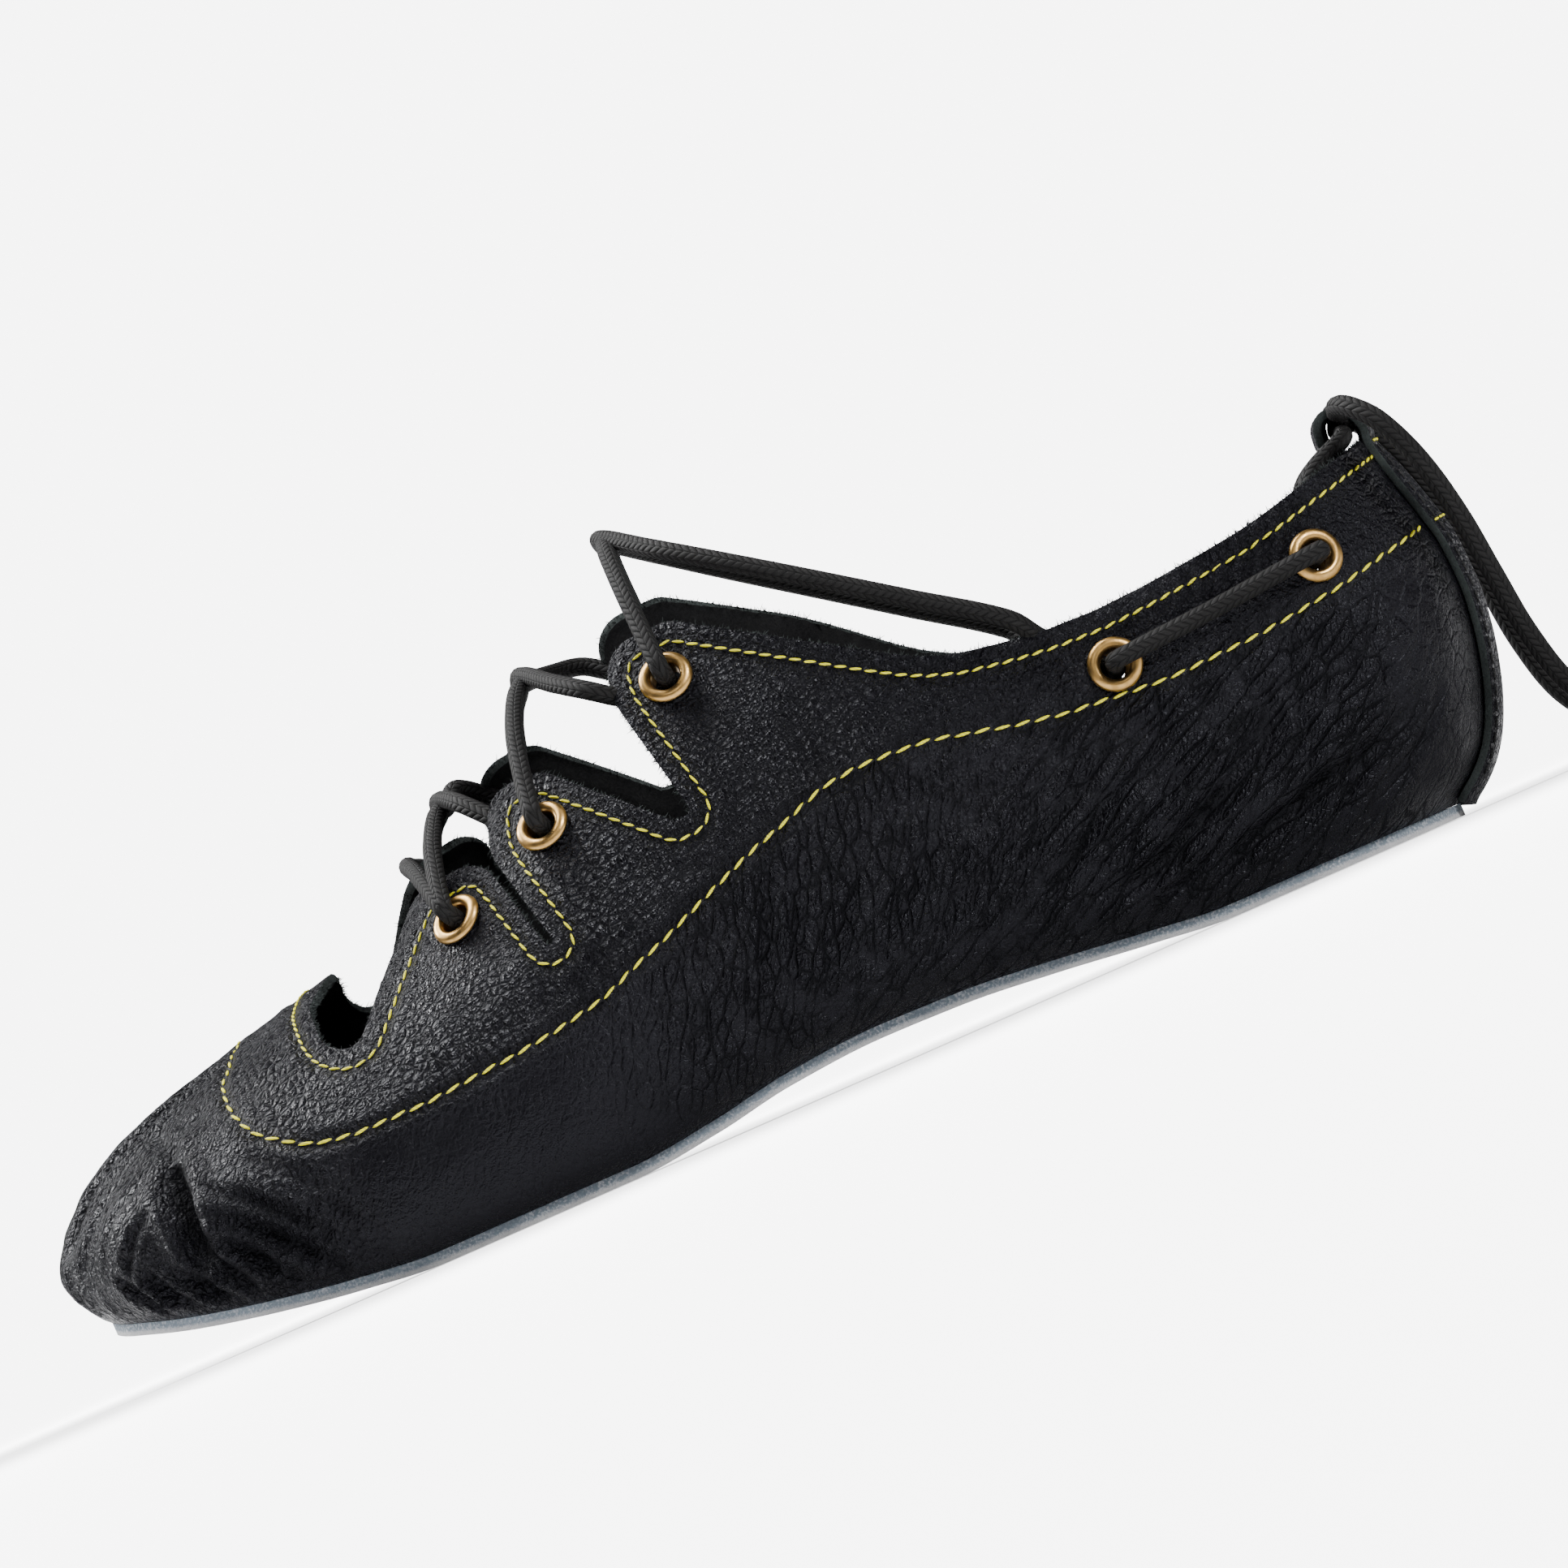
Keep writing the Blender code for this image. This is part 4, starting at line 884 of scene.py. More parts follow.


def domed(tree, distance, reach):
    """A rounded rise from a cell's edge inwards."""
    share = add_node(tree, "ShaderNodeClamp", {"Value": calc(tree, "DIVIDE", distance, reach)}).outputs[0]
    return product(tree, share, calc(tree, "SUBTRACT", 2.0, share))


def crackle_lines(tree, coords, scale, stretch, lean):
    """Distance from the lines of a crackle whose cells are drawn out along one lean."""
    values = {"Vector": coords, "Rotation": (0, -lean, 0), "Scale": (stretch, 1.0, 1.0)}
    drawn = add_node(tree, "ShaderNodeMapping", values, vector_type="TEXTURE")
    return cell_edges(tree, drawn.outputs[0], scale)


def grain_group():
    """Leather grain: round pebbles, a crackle of long fine wrinkles and a fine tooth."""
    defaults = {"Pebble": 1.0, "Crackle": 0.5, "Heelward": 0.0}
    group, given, out = new_group("leather_grain", defaults, ("Height", "Tops"))
    vector = given["Vector"]
    pebble = given["Pebble"]
    wobble = add_node(group, "ShaderNodeTexNoise", {"Vector": vector, "Scale": 260.0, "Detail": 2.0})
    centred = vector_math(group, "SUBTRACT", {0: wobble.outputs["Color"], 1: (0.5, 0.5, 0.5)})
    shift = vector_math(group, "SCALE", {0: centred, "Scale": WOBBLE * MM})
    coords = vector_math(group, "ADD", {0: vector, 1: shift})
    cells = cell_edges(group, coords, PEBBLES)
    fine_cells = cell_edges(group, coords, FINE_PEBBLES)
    waist = crackle_lines(group, coords, *WAIST_CRACKLE)
    heel = crackle_lines(group, coords, *HEEL_CRACKLE)
    lines = blended_value(group, given["Heelward"], waist, heel)
    fine_lines = crackle_lines(group, coords, *FINE_CRACKLE)
    patch = ramped(group, clouds(group, vector, 55.0, 3.0), 0.35, 0.65, 0.45, 1.0)
    unbroken = ramped(group, clouds(group, vector, 170.0, 2.0), 0.36, 0.58, 0.4, 1.0)
    crackle = product(group, given["Crackle"], unbroken)
    height = product(group, domed(group, cells, 0.48), product(group, pebble, patch))
    for rise, share in (
        (domed(group, fine_cells, 0.35), product(group, pebble, 0.25)),
        (domed(group, lines, 0.18), product(group, crackle, 0.7)),
        (domed(group, fine_lines, 0.3), product(group, crackle, 0.22)),
        (clouds(group, vector, 3400.0, 3.0), 0.2),
    ):
        height = calc(group, "MULTIPLY_ADD", rise, share, height)
    group.links.new(height, out["Height"])
    # Tops falls in the valleys between the pebbles and along the crackle lines, where the leather's colour
    # gets painted shade.
    pebble_tops = ramped(group, cells, 0.0, 0.25, 0.35, 1.0)
    fine_shown = ramped(group, fine_lines, 0.0, 0.14, 0.6, 1.0)
    lined = product(group, ramped(group, lines, 0.0, 0.12), fine_shown)
    lines_shown = blended_value(group, crackle, 1.0, lined)
    tops = product(group, blended_value(group, pebble, 1.0, pebble_tops), lines_shown)
    group.links.new(tops, out["Tops"])
    return group


def fibre_group():
    """Loose fibres of suede and raw edges: a felted height and a blotchy shade."""
    group, given, out = new_group("felted_fibres", {"Size": 900.0}, ("Height", "Shade"))
    values = {"Vector": given["Vector"], "Scale": given["Size"], "Detail": 6.0, "Roughness": 0.75}
    threads = add_node(group, "ShaderNodeTexNoise", {**values, "Distortion": 2.5}).outputs["Fac"]
    blotches = clouds(group, given["Vector"], 130.0, 4.0)
    group.links.new(threads, out["Height"])
    shade = calc(group, "MULTIPLY_ADD", threads, 0.6, product(group, blotches, 0.4))
    group.links.new(ramped(group, shade, 0.3, 0.7), out["Shade"])
    return group


def braid_group():
    """A round braid, from its UV map: around in turns and along in millimetres."""
    group, given, out = new_group("round_braid", {}, ("Height",))

    def waves(value):
        return calc(group, "ABSOLUTE", calc(group, "SINE", product(group, value, math.pi)))

    apart = add_node(group, "ShaderNodeSeparateXYZ", {"Vector": given["Vector"]})
    around = product(group, apart.outputs["X"], 8.0)
    zigzag = calc(group, "PINGPONG", around, 1.0)
    steps = calc(group, "MULTIPLY_ADD", apart.outputs["Y"], 0.72, product(group, zigzag, 0.9))
    columns = ramped(group, waves(around), 0.0, 0.5, 0.55, 1.0)
    group.links.new(product(group, calc(group, "POWER", waves(steps), 0.5), columns), out["Height"])
    return group


GRAIN = grain_group()
FIBRES = fibre_group()
BRAID = braid_group()


def leather_paint(name, tops, valley_shade, has_layers):
    material, tree, shader = new_paint(name, specular_ior_level=0.17, specular_tint=(0.86, 0.88, 1.0, 1))
    coords = object_coords(tree)
    shares = PLAIN_GRAIN
    if has_layers:
        layers = [add_node(tree, "ShaderNodeAttribute", attribute_name=layer) for layer in GRAIN_AND_SHADE_LAYERS]
        shares = [layer.outputs["Fac"] for layer in layers]
    pebble, crackle, heelward, crease_shade = shares
    values = {"Vector": coords, "Pebble": pebble, "Crackle": crackle, "Heelward": heelward}
    grain = use_group(tree, GRAIN, values)
    # The colour goes from the painted shade of the valleys to the colour of the tops as Tops rises.
    shade = blended(tree, grain["Tops"], valley_shade, tops)
    blotches = ramped(tree, clouds(tree, coords, 40.0, 4.0), 0.3, 0.7, 0.85, 1.1)
    # Random blotches of tone, times painted shade that darkens the hollows of the folds, where the leather is
    # also made rougher.
    blotches_and_crease_shade = product(tree, blotches, ramped(tree, crease_shade, 0.0, 1.0, 1.0, 0.25))
    rough = ramped(tree, grain["Tops"], 0.0, 1.0, 0.68, 0.25)
    feed(tree, shader, base_color=vector_math(tree, "SCALE", {0: shade, "Scale": blotches_and_crease_shade}),
         roughness=calc(tree, "MULTIPLY_ADD", crease_shade, 0.35, rough))
    bumped(tree, shader, grain["Height"], 0.8)
    return material


def fibre_paint(name, dark, light, size, depth):
    material, tree, shader = new_paint(name, roughness=0.95, specular_ior_level=0.15)
    fibres = use_group(tree, FIBRES, {"Vector": object_coords(tree), "Size": size})
    feed(tree, shader, base_color=blended(tree, fibres["Shade"], dark, light))
    bumped(tree, shader, fibres["Height"], depth)
    return material


def sole_suede_paint():
    """Pale split suede, whose cut edge is stained blue grey down to the loose nap of its underside."""
    material, tree, shader = new_paint("split_suede", roughness=0.95, specular_ior_level=0.15)
    coords = object_coords(tree)
    fibres = use_group(tree, FIBRES, {"Vector": coords, "Size": 1500.0})
    specks = ramped(tree, clouds(tree, coords, 2200.0, 2.0), 0.42, 0.68)
    stained = blended(tree, product(tree, specks, fibres["Shade"]), (0.30, 0.36, 0.43), (0.92, 0.95, 0.98))
    nap = blended(tree, fibres["Shade"], (0.66, 0.66, 0.68), (0.94, 0.94, 0.95))
    depth = add_node(tree, "ShaderNodeAttribute", attribute_name="depth").outputs["Fac"]
    ragged = calc(tree, "MULTIPLY_ADD", fibres["Height"], 0.7, depth)
    feed(tree, shader, base_color=blended(tree, ramped(tree, ragged, 0.8, 1.12), stained, nap))
    bumped(tree, shader, fibres["Height"], 0.5)
    return material


def lace_paint():
    material, tree, shader = new_paint("black_braid", roughness=0.7, specular_ior_level=0.2)
    uv = add_node(tree, "ShaderNodeUVMap", uv_map="braid").outputs["UV"]
    braid = use_group(tree, BRAID, {"Vector": uv})
    fibres = use_group(tree, FIBRES, {"Vector": object_coords(tree), "Size": 2600.0})
    # The braid's grooves are painted darker than its ridges: painted shade taken from the braid's height.
    shade = product(tree, braid["Height"], ramped(tree, fibres["Shade"], 0.0, 1.0, 0.6, 1.0))
    feed(tree, shader, base_color=blended(tree, shade, (0.0010, 0.0010, 0.0011), (0.0130, 0.0124, 0.0124)))
    bumped(tree, shader, calc(tree, "MULTIPLY_ADD", fibres["Height"], 0.25, braid["Height"]), 0.3)
    return material


def brass_paint():
    material, tree, shader = new_paint("matte_brass", metallic=1.0)
    coords = object_coords(tree)
    tarnish = ramped(tree, clouds(tree, coords, 700.0, 4.0), 0.35, 0.75)
    feed(tree, shader, base_color=blended(tree, tarnish, (0.60, 0.37, 0.13), (0.46, 0.27, 0.085)),
         roughness=ramped(tree, tarnish, 0.0, 1.0, 0.32, 0.46))
    bumped(tree, shader, clouds(tree, coords, 3000.0, 2.0), 0.02)
    return material


def thread_paint(name, dark, light):
    material, tree, shader = new_paint(name, roughness=0.6, specular_ior_level=0.35)
    values = {"Vector": object_coords(tree), "Scale": 900.0, "Distortion": 1.5}
    twist = add_node(tree, "ShaderNodeTexWave", values, wave_type="BANDS", bands_direction="DIAGONAL")
    feed(tree, shader, base_color=blended(tree, twist.outputs["Fac"], dark, light))
    bumped(tree, shader, twist.outputs["Fac"], 0.05)
    return material


def aglet_paint():
    material, tree, shader = new_paint("dark_aglet")
    film = clouds(tree, object_coords(tree), 900.0, 3.0)
    feed(tree, shader, base_color=blended(tree, film, (0.01, 0.01, 0.011), (0.03, 0.03, 0.031)),
         roughness=ramped(tree, film, 0.3, 0.7, 0.22, 0.4))
    return material


def floor_paint():
    """A pale floor that fades into the white of the studio away from the shoe."""
    material, tree, shader = new_paint(
        "pale_floor", base_color=(0.85, 0.85, 0.86, 1), roughness=0.9, emission_color=(1, 1, 1, 1))
    away = add_node(tree, "ShaderNodeVectorMath", {0: object_coords(tree)}, operation="LENGTH")
    glow = ramped(tree, away.outputs["Value"], 0.1, 0.8, FLOOR_GLOW, WHITE)
    path = add_node(tree, "ShaderNodeLightPath")
    feed(tree, shader, emission_strength=product(tree, glow, path.outputs["Is Camera Ray"]))
    return material


# Mesh helpers


def new_object(name, bm, materials):
    mesh = bpy.data.meshes.new(name)
    bm.to_mesh(mesh)
    bm.free()
    for material in materials:
        mesh.materials.append(material)
    mesh.polygons.foreach_set("use_smooth", [True] * len(mesh.polygons))
    obj = bpy.data.objects.new(name, mesh)
    bpy.context.scene.collection.objects.link(obj)
    return obj


def add_piece(obj, slot, *nodes):
    """Makes a finished piece part of the shoe, in place of these solids."""
    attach(obj, "root")
    if nodes:
        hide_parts(*nodes)
    return obj


def sheet(along, across, point):
    """A grid of faces laid over point(i, j), with the corners that fall together merged."""
    bm = bmesh.new()
    bmesh.ops.create_grid(bm, x_segments=along, y_segments=across, size=1)
    for vert in bm.verts:
        i = round((vert.co.x + 1) / 2 * along)
        j = round((vert.co.y + 1) / 2 * across)
        vert.co = place(*point(i, j))
    close_sheet(bm)
    return bm


def close_sheet(bm):
    bmesh.ops.remove_doubles(bm, verts=bm.verts, dist=MERGE)
    bmesh.ops.dissolve_degenerate(bm, edges=bm.edges, dist=MERGE)
    bmesh.ops.recalc_face_normals(bm, faces=bm.faces)


def face_away(bm, inside):
    """Turns a sheet's faces over if on the whole they look towards a point inside."""
    outward = sum(face.calc_area() * face.normal.dot(face.calc_center_median() - inside) for face in bm.faces)
    if outward < 0:
        bmesh.ops.reverse_faces(bm, faces=bm.faces)


def thicken(obj, thickness, offset, inside=0, rim=0):
    solidify = obj.modifiers.new("Thickness", "SOLIDIFY")
    solidify.thickness = thickness * MM
    solidify.offset = offset
    solidify.use_quality_normals = True
    solidify.material_offset = inside
    solidify.material_offset_rim = rim


def soften(obj, width, segments=2):
    bevel = obj.modifiers.new("Soft_edges", "BEVEL")
    bevel.width = width * MM
    bevel.segments = segments
    bevel.limit_method = "ANGLE"
    bevel.angle_limit = math.radians(50)


def raised(bm, faces, rise):
    """Draws faces out straight up or down to a block, and returns the corners that moved."""
    grown = bmesh.ops.extrude_face_region(bm, geom=faces)["geom"]
    moved = [item for item in grown if isinstance(item, bmesh.types.BMVert)]
    bmesh.ops.translate(bm, verts=moved, vec=(0, 0, rise * MM))
    return moved


def finished(obj):
    """The mesh of an object with its modifiers or its bevel. The object itself is removed."""
    bpy.context.view_layer.update()
    mesh = bpy.data.meshes.new_from_object(obj.evaluated_get(bpy.context.evaluated_depsgraph_get()))
    bm = bmesh.new()
    bm.from_mesh(mesh)
    bpy.data.meshes.remove(mesh)
    bpy.data.objects.remove(obj)
    return bm


def lathed(name, profile, steps, start, axis, material):
    """A round piece from a profile of radii and heights, set at a point and along an axis."""
    bm = bmesh.new()
    verts = [bm.verts.new((r * MM, 0, z * MM)) for r, z in profile]
    closing = verts[:1] if profile[-1][0] > 0 else []
    edges = [bm.edges.new(pair) for pair in zip(verts, verts[1:] + closing)]
    bmesh.ops.spin(bm, geom=verts + edges, cent=(0, 0, 0), axis=(0, 0, 1), angle=2 * math.pi, steps=steps,
                   use_merge=True)
    bmesh.ops.remove_doubles(bm, verts=bm.verts, dist=MERGE)
    bmesh.ops.recalc_face_normals(bm, faces=bm.faces)
    turned = axis.to_track_quat("Z", "Y").to_matrix().to_4x4()
    turned.translation = place(*start)
    bmesh.ops.transform(bm, matrix=turned, verts=bm.verts)
    return new_object(name, bm, [material])


APART = bpy.data.meshes.new("apart")


def add_apart(bm, operator, **settings):
    """Adds a small form that is made apart, which keeps long rows of them quick."""
    form = bmesh.new()
    operator(form, **settings)
    form.to_mesh(APART)
    form.free()
    bm.from_mesh(APART, face_normals=False, vertex_normals=False)


# The upper


def stations():
    """Places along the shoe, about a step of leather apart."""
    angles = [math.pi * k / STATION_PROBES for k in range(STATION_PROBES + 1)]
    fine = [FORM_LENGTH / 2 * (1 - math.cos(angle)) for angle in angles]
    widths = [form_at(at).outer for at in fine]
    gone = np.concatenate([[0], np.cumsum(np.hypot(np.diff(fine), np.diff(widths)))])
    return np.interp(np.linspace(0, gone[-1], round(gone[-1] / STATION_STEP) + 1), gone, fine)


def row_turn(row):
    """The turn of a row of the flat pattern, counted from the ridge."""
    if row <= TOP_ROWS:
        return row / TOP_ROWS
    if row <= TOP_ROWS + FLANK_ROWS:
        return 1 + (row - TOP_ROWS) / FLANK_ROWS
    return 2 + (row - TOP_ROWS - FLANK_ROWS) / MARGIN_ROWS


def on_pattern(side, at, z):
    """Where a point of the wall lies on the flat pattern: its section, and its turn to either side."""
    form = form_at(section_of(at, z))
    up = min(max((z - form.belly) / (form.crest - form.belly), 0.0), 1.0)
    return Vector((form.at, side * QUARTER * math.acos(up ** (form.fullness / 2)) * 2 / math.pi))


def add_prism(bm, outline):
    """A flat outline raised to a block that goes right through the pattern."""
    face = bm.faces.new([bm.verts.new((p.x * MM, p.y * MM, -SLAB * MM)) for p in outline])
    raised(bm, [face], 3 * SLAB)


def edge_line(name):
    """The cut edge of one side, as places and heights there."""
    points = spaced(filleted(EDGES[name]), 1.5)
    return [Vector((p.x, side_height(SIDES[name], p.x, p.y))) for p in points]


def cut_out():
    """The throat and the eyelet holes as blocks over the flat pattern."""
    bm = bmesh.new()
    sides = {}
    for name, side in SIDES.items():
        line = [on_pattern(side, *p) for p in edge_line(name)]
        sides[name] = [p for p in line if p.x < FORM_LENGTH - 0.05]
    tip = sides["near"][0]
    for name, line in sides.items():
        first = next(i for i, p in enumerate(line) if (p - tip).length > THROAT_TIP)
        sides[name] = line[first:]
    start, end = sides["far"][0], sides["near"][0]
    arc = [mixed(mixed(start, tip, t), mixed(tip, end, t), t) for t in np.linspace(0, 1, TIP_STEPS + 1)[:-1]]
    past_heel = [Vector((FORM_LENGTH + 10, sides[name][-1].y)) for name in SIDES]
    add_prism(bm, sides["near"] + past_heel + sides["far"][:0:-1] + arc)
    for _, side, middle, outward in eyelet_places():
        across = outward.orthogonal().normalized()
        up = outward.cross(across)
        ring = []
        for angle in np.linspace(0, 2 * math.pi, HOLE_SIDES, endpoint=False):
            point = middle + EYELET_DRILL * (math.cos(angle) * across + math.sin(angle) * up)
            ring.append(on_pattern(side, point.x, point.z))
        add_prism(bm, ring)
    bmesh.ops.recalc_face_normals(bm, faces=bm.faces)
    return new_object("cut_out", bm, [])


def eyelet_places():
    """Each eyelet's name, side, middle on the upper's outer face, and outward direction."""
    for number, eyelet in enumerate(EYELETS, 1):
        for name, side in SIDES.items():
            middle = on_wall(side, eyelet.at, side_height(side, eyelet.at, eyelet.height))
            yield f"{number}_{name}", side, middle, wall_normal(side, middle)


def flat_leather():
    """The upper's leather laid flat, with the throat and the eyelet holes cut out."""
    places = stations()
    along = len(places) - 1
    rows = TOP_ROWS + FLANK_ROWS + MARGIN_ROWS
    bm = bmesh.new()
    bmesh.ops.create_grid(bm, x_segments=along, y_segments=2 * rows, size=1)
    for vert in bm.verts:
        row = round(vert.co.y * rows)
        turn = math.copysign(row_turn(abs(row)), row)
        vert.co = (places[round((vert.co.x + 1) / 2 * along)] * MM, turn * QUARTER * MM, 0)
    raised(bm, bm.faces[:], SLAB)
    bmesh.ops.recalc_face_normals(bm, faces=bm.faces)
    slab = new_object("flat_leather", bm, [])
    cutter = cut_out()
    boolean = slab.modifiers.new("Cut", "BOOLEAN")
    boolean.operation = "DIFFERENCE"
    boolean.solver = "EXACT"
    boolean.object = cutter
    bm = finished(slab)
    bpy.data.objects.remove(cutter)
    above = [face for face in bm.faces if max(vert.co.z for vert in face.verts) > SLAB * MM / 10]
    bmesh.ops.delete(bm, geom=above, context="FACES")
    return bm


def from_line(line, points):
    """Distance of points from a line, and how far along it they are, from 0 to 1."""
    line = np.array(line, float)
    lengths = np.linalg.norm(np.diff(line, axis=0), axis=1)
    before = np.concatenate([[0], np.cumsum(lengths)])
    best = np.full(len(points), 1e9)
    along = np.zeros(len(points))
    for start, end, length, gone in zip(line, line[1:], lengths, before):
        ahead = (end - start) / length
        t = np.clip((points - start) @ ahead, 0, length)
        distance = np.linalg.norm(points - start - t[:, None] * ahead, axis=1)
        closer = distance < best
        best[closer] = distance[closer]
        along[closer] = (gone + t[closer]) / before[-1]
    return best, along


def on_form(side, line):
    """The points of a line of places and heights on one side of the smooth form."""
    points = []
    for at, z in spaced([Vector(p) for p in line], 2.5):
        section = section_of(at, z)
        z = min(z, form_at(section).crest)
        points.append((at, section_y(side, section, z), z))
    return points


def relief(name, points):
    """How far the worn leather stands out from the smooth form at points of a side."""
    side = SIDES[name]
    height = np.zeros(len(points))
    for fold in FOLDS:
        distance, along = from_line(on_form(side, fold.line), points)
        fade = np.sin(np.pi * along) ** FOLD_FADE
        groove = np.exp(-((distance / fold.width) ** 2))
        lips = np.exp(-(((distance - 2 * fold.width) / fold.width) ** 2))
        height += fold.depth * fade * (fold.lip * lips - groove)
    for swell in SWELLS:
        away = np.linalg.norm(points - np.array(on_form(side, [swell[:2]] * 2)[0]), axis=1)
        height += swell.rise * np.exp(-((away / swell.width) ** 2))
    height *= WORN[name]
    edge_seam = inset_line(edge_line(name), EDGE_SEAM_IN)
    for seam, depth in ((VAMP_SEAM, VAMP_SUNK), (edge_seam, EDGE_SUNK)):
        distance, _ = from_line(on_form(side, seam), points)
        puffs = PUFF_SHARE * np.exp(-(((distance - PUFF_AWAY) / PUFF_WIDE) ** 2))
        height += depth * (puffs - np.exp(-(distance**2)))
    return height


def toe_pleats(at, y, z):
    """Gathers that run up from the sole round the toe."""
    around = np.arctan2(y - TOE_MIDDLE_Y, TOE_MIDDLE - at) * TOE_MIDDLE
    low = faded(PLEAT_TOP[0] - z, PLEAT_TOP[1])
    front = faded(PLEAT_BACK[0] - at, PLEAT_BACK[1])
    uneven = np.array([noise.noise(Vector((a * 0.21, 3.1, 0.0))) for a in around])
    return PLEAT_DEEP * low * front * np.sin(around * PLEAT_TURN + 2.4 * uneven) * (0.7 + 0.6 * uneven)


def faded(distance, reach):
    """0 where a distance is 0 or less, rising to 1 over its reach."""
    return np.clip(distance / reach, 0, 1)


def grain_and_shade_shares(at, z, rise):
    """How much of each grain layer there is at a point of the upper that stands out by a rise, and how much
    painted shade the hollow of a fold gets there.
    """
    above_seam = eased(*SEAM_BLEND, z - SEAM_HEIGHT(at))
    on_toe = 1 - eased(*TOE_BLEND, at)
    on_heel = eased(*HEEL_BLEND, at)
    pebble = max(mixed(0.14, 1.0, above_seam), 0.65 * on_toe) * mixed(1.0, 0.5, on_heel)
    crackle = mixed(0.12 + 0.85 * eased(*WAIST_BLEND, at), 0.12 + 0.25 * on_heel, above_seam)
    crackle = max(crackle, 0.55 * on_toe) * mixed(1.0, 0.35, eased(*BACK_BLEND, at))
    low_heelward = eased(*LOW_LEAN_BLEND, at) * (1 - eased(*LOW_BLEND, z))
    heelward = max(eased(*LEAN_BLEND, at), low_heelward)
    # The last share is the painted shade of a fold's hollow, which deepens as the fold sinks.
    return pebble, crackle, heelward, min(max(-rise / CREASE_SHADE_DEEP, 0.0), 1.0)


def make_upper(paints):
    bm = flat_leather()
    sides = []
    points = []
    from_seam = []
    for vert in bm.verts:
        flat = vert.co / MM
        section = min(max(flat.x, 0.0), FORM_LENGTH)
        sides.append(INNER if flat.y >= 0 else OUTER)
        at, y, z = form_point(sides[-1], section, abs(flat.y) / QUARTER)
        from_seam.append(FORM_LENGTH - section)
        if from_seam[-1] < 0.01:
            y = form_at(FORM_LENGTH).ridge
        points.append((at, y, z))
        vert.co = place(at, y, z)
    points = np.array(points)
    at, y, z = points.T
    worn = np.zeros(len(points))
    for name, side in SIDES.items():
        here = np.array(sides) == side
        worn[here] = relief(name, points[here])
    worn += toe_pleats(at, y, z)
    worn += [sum(rise * noise.noise(Vector(p) / long) for long, rise in UNEVEN.items()) for p in points]
    sole = np.array([sole_top(s, 0.0) + SEAT for s in at])
    worn *= faded(z - sole - STILL_SOLE[0], STILL_SOLE[1])
    worn *= faded(STILL_HEEL[0] - at, STILL_HEEL[1])
    worn *= faded(np.array(from_seam), STILL_SEAM)
    bmesh.ops.recalc_face_normals(bm, faces=bm.faces)
    face_away(bm, INSIDE)
    bm.normal_update()
    moved = [vert.co + vert.normal * float(rise) * MM for vert, rise in zip(bm.verts, worn)]
    layers = [bm.verts.layers.float.new(layer) for layer in GRAIN_AND_SHADE_LAYERS]
    for vert, co, s, h, rise in zip(bm.verts, moved, at, z, worn):
        vert.co = co
        for layer, share in zip(layers, grain_and_shade_shares(s, h, rise)):
            vert[layer] = share
    close_sheet(bm)
    face_away(bm, INSIDE)
    surface = BVHTree.FromBMesh(bm)
    upper = new_object("leather_upper", bm, paints)
    thicken(upper, WALL, -1, 1, 2)
    soften(upper, UPPER_SOFT)
    add_piece(upper, "leather", "upper")
    return surface


# Soles


def plate(name, faces, ends, share, height, paints, thickness):
    """A thin plate of the sole's outline, or a share of it, raised or lowered from height(at, y)."""
    along, across = faces

    def point(i, j):
        round_step = (1 - math.cos(math.pi * i / along)) / 2
        sole_at = mixed(SOLE_TOE, SOLE_HEEL, round_step)
        at = mixed(*ends, round_step)
        outer_edge = sole_edge(OUTER, sole_at)
        inner_edge = sole_edge(INNER, sole_at)
        middle = (outer_edge + inner_edge) / 2
        y = middle + (mixed(outer_edge, inner_edge, j / across) - middle) * share
        return at, y, height(at, y)

    bm = sheet(along, across, point)
    depth = bm.verts.layers.float.new("depth")
    for vert in raised(bm, bm.faces[:], thickness):
        vert[depth] = 1.0
    bmesh.ops.recalc_face_normals(bm, faces=bm.faces)
    obj = new_object(name, bm, paints)
    soften(obj, SOLE_SOFT, 3)
    return obj


def make_soles(suede, board):
    outsole = plate("suede_outsole", OUTSOLE_FACES, (SOLE_TOE, SOLE_HEEL), 1.0, sole_top, [suede],
                    -SOLE_THICK)
    add_piece(outsole, "suede", "outsole")
    lies_on = SEAT + WALL + INSOLE_CLEAR
    insole = plate("dark_insole", INSOLE_FACES, INSOLE_ENDS, INSOLE_SHARE,
                   lambda at, y: sole_top(at, y) + lies_on, [board], INSOLE_THICK)
    add_piece(insole, "insole", "insole")


# Heel strip


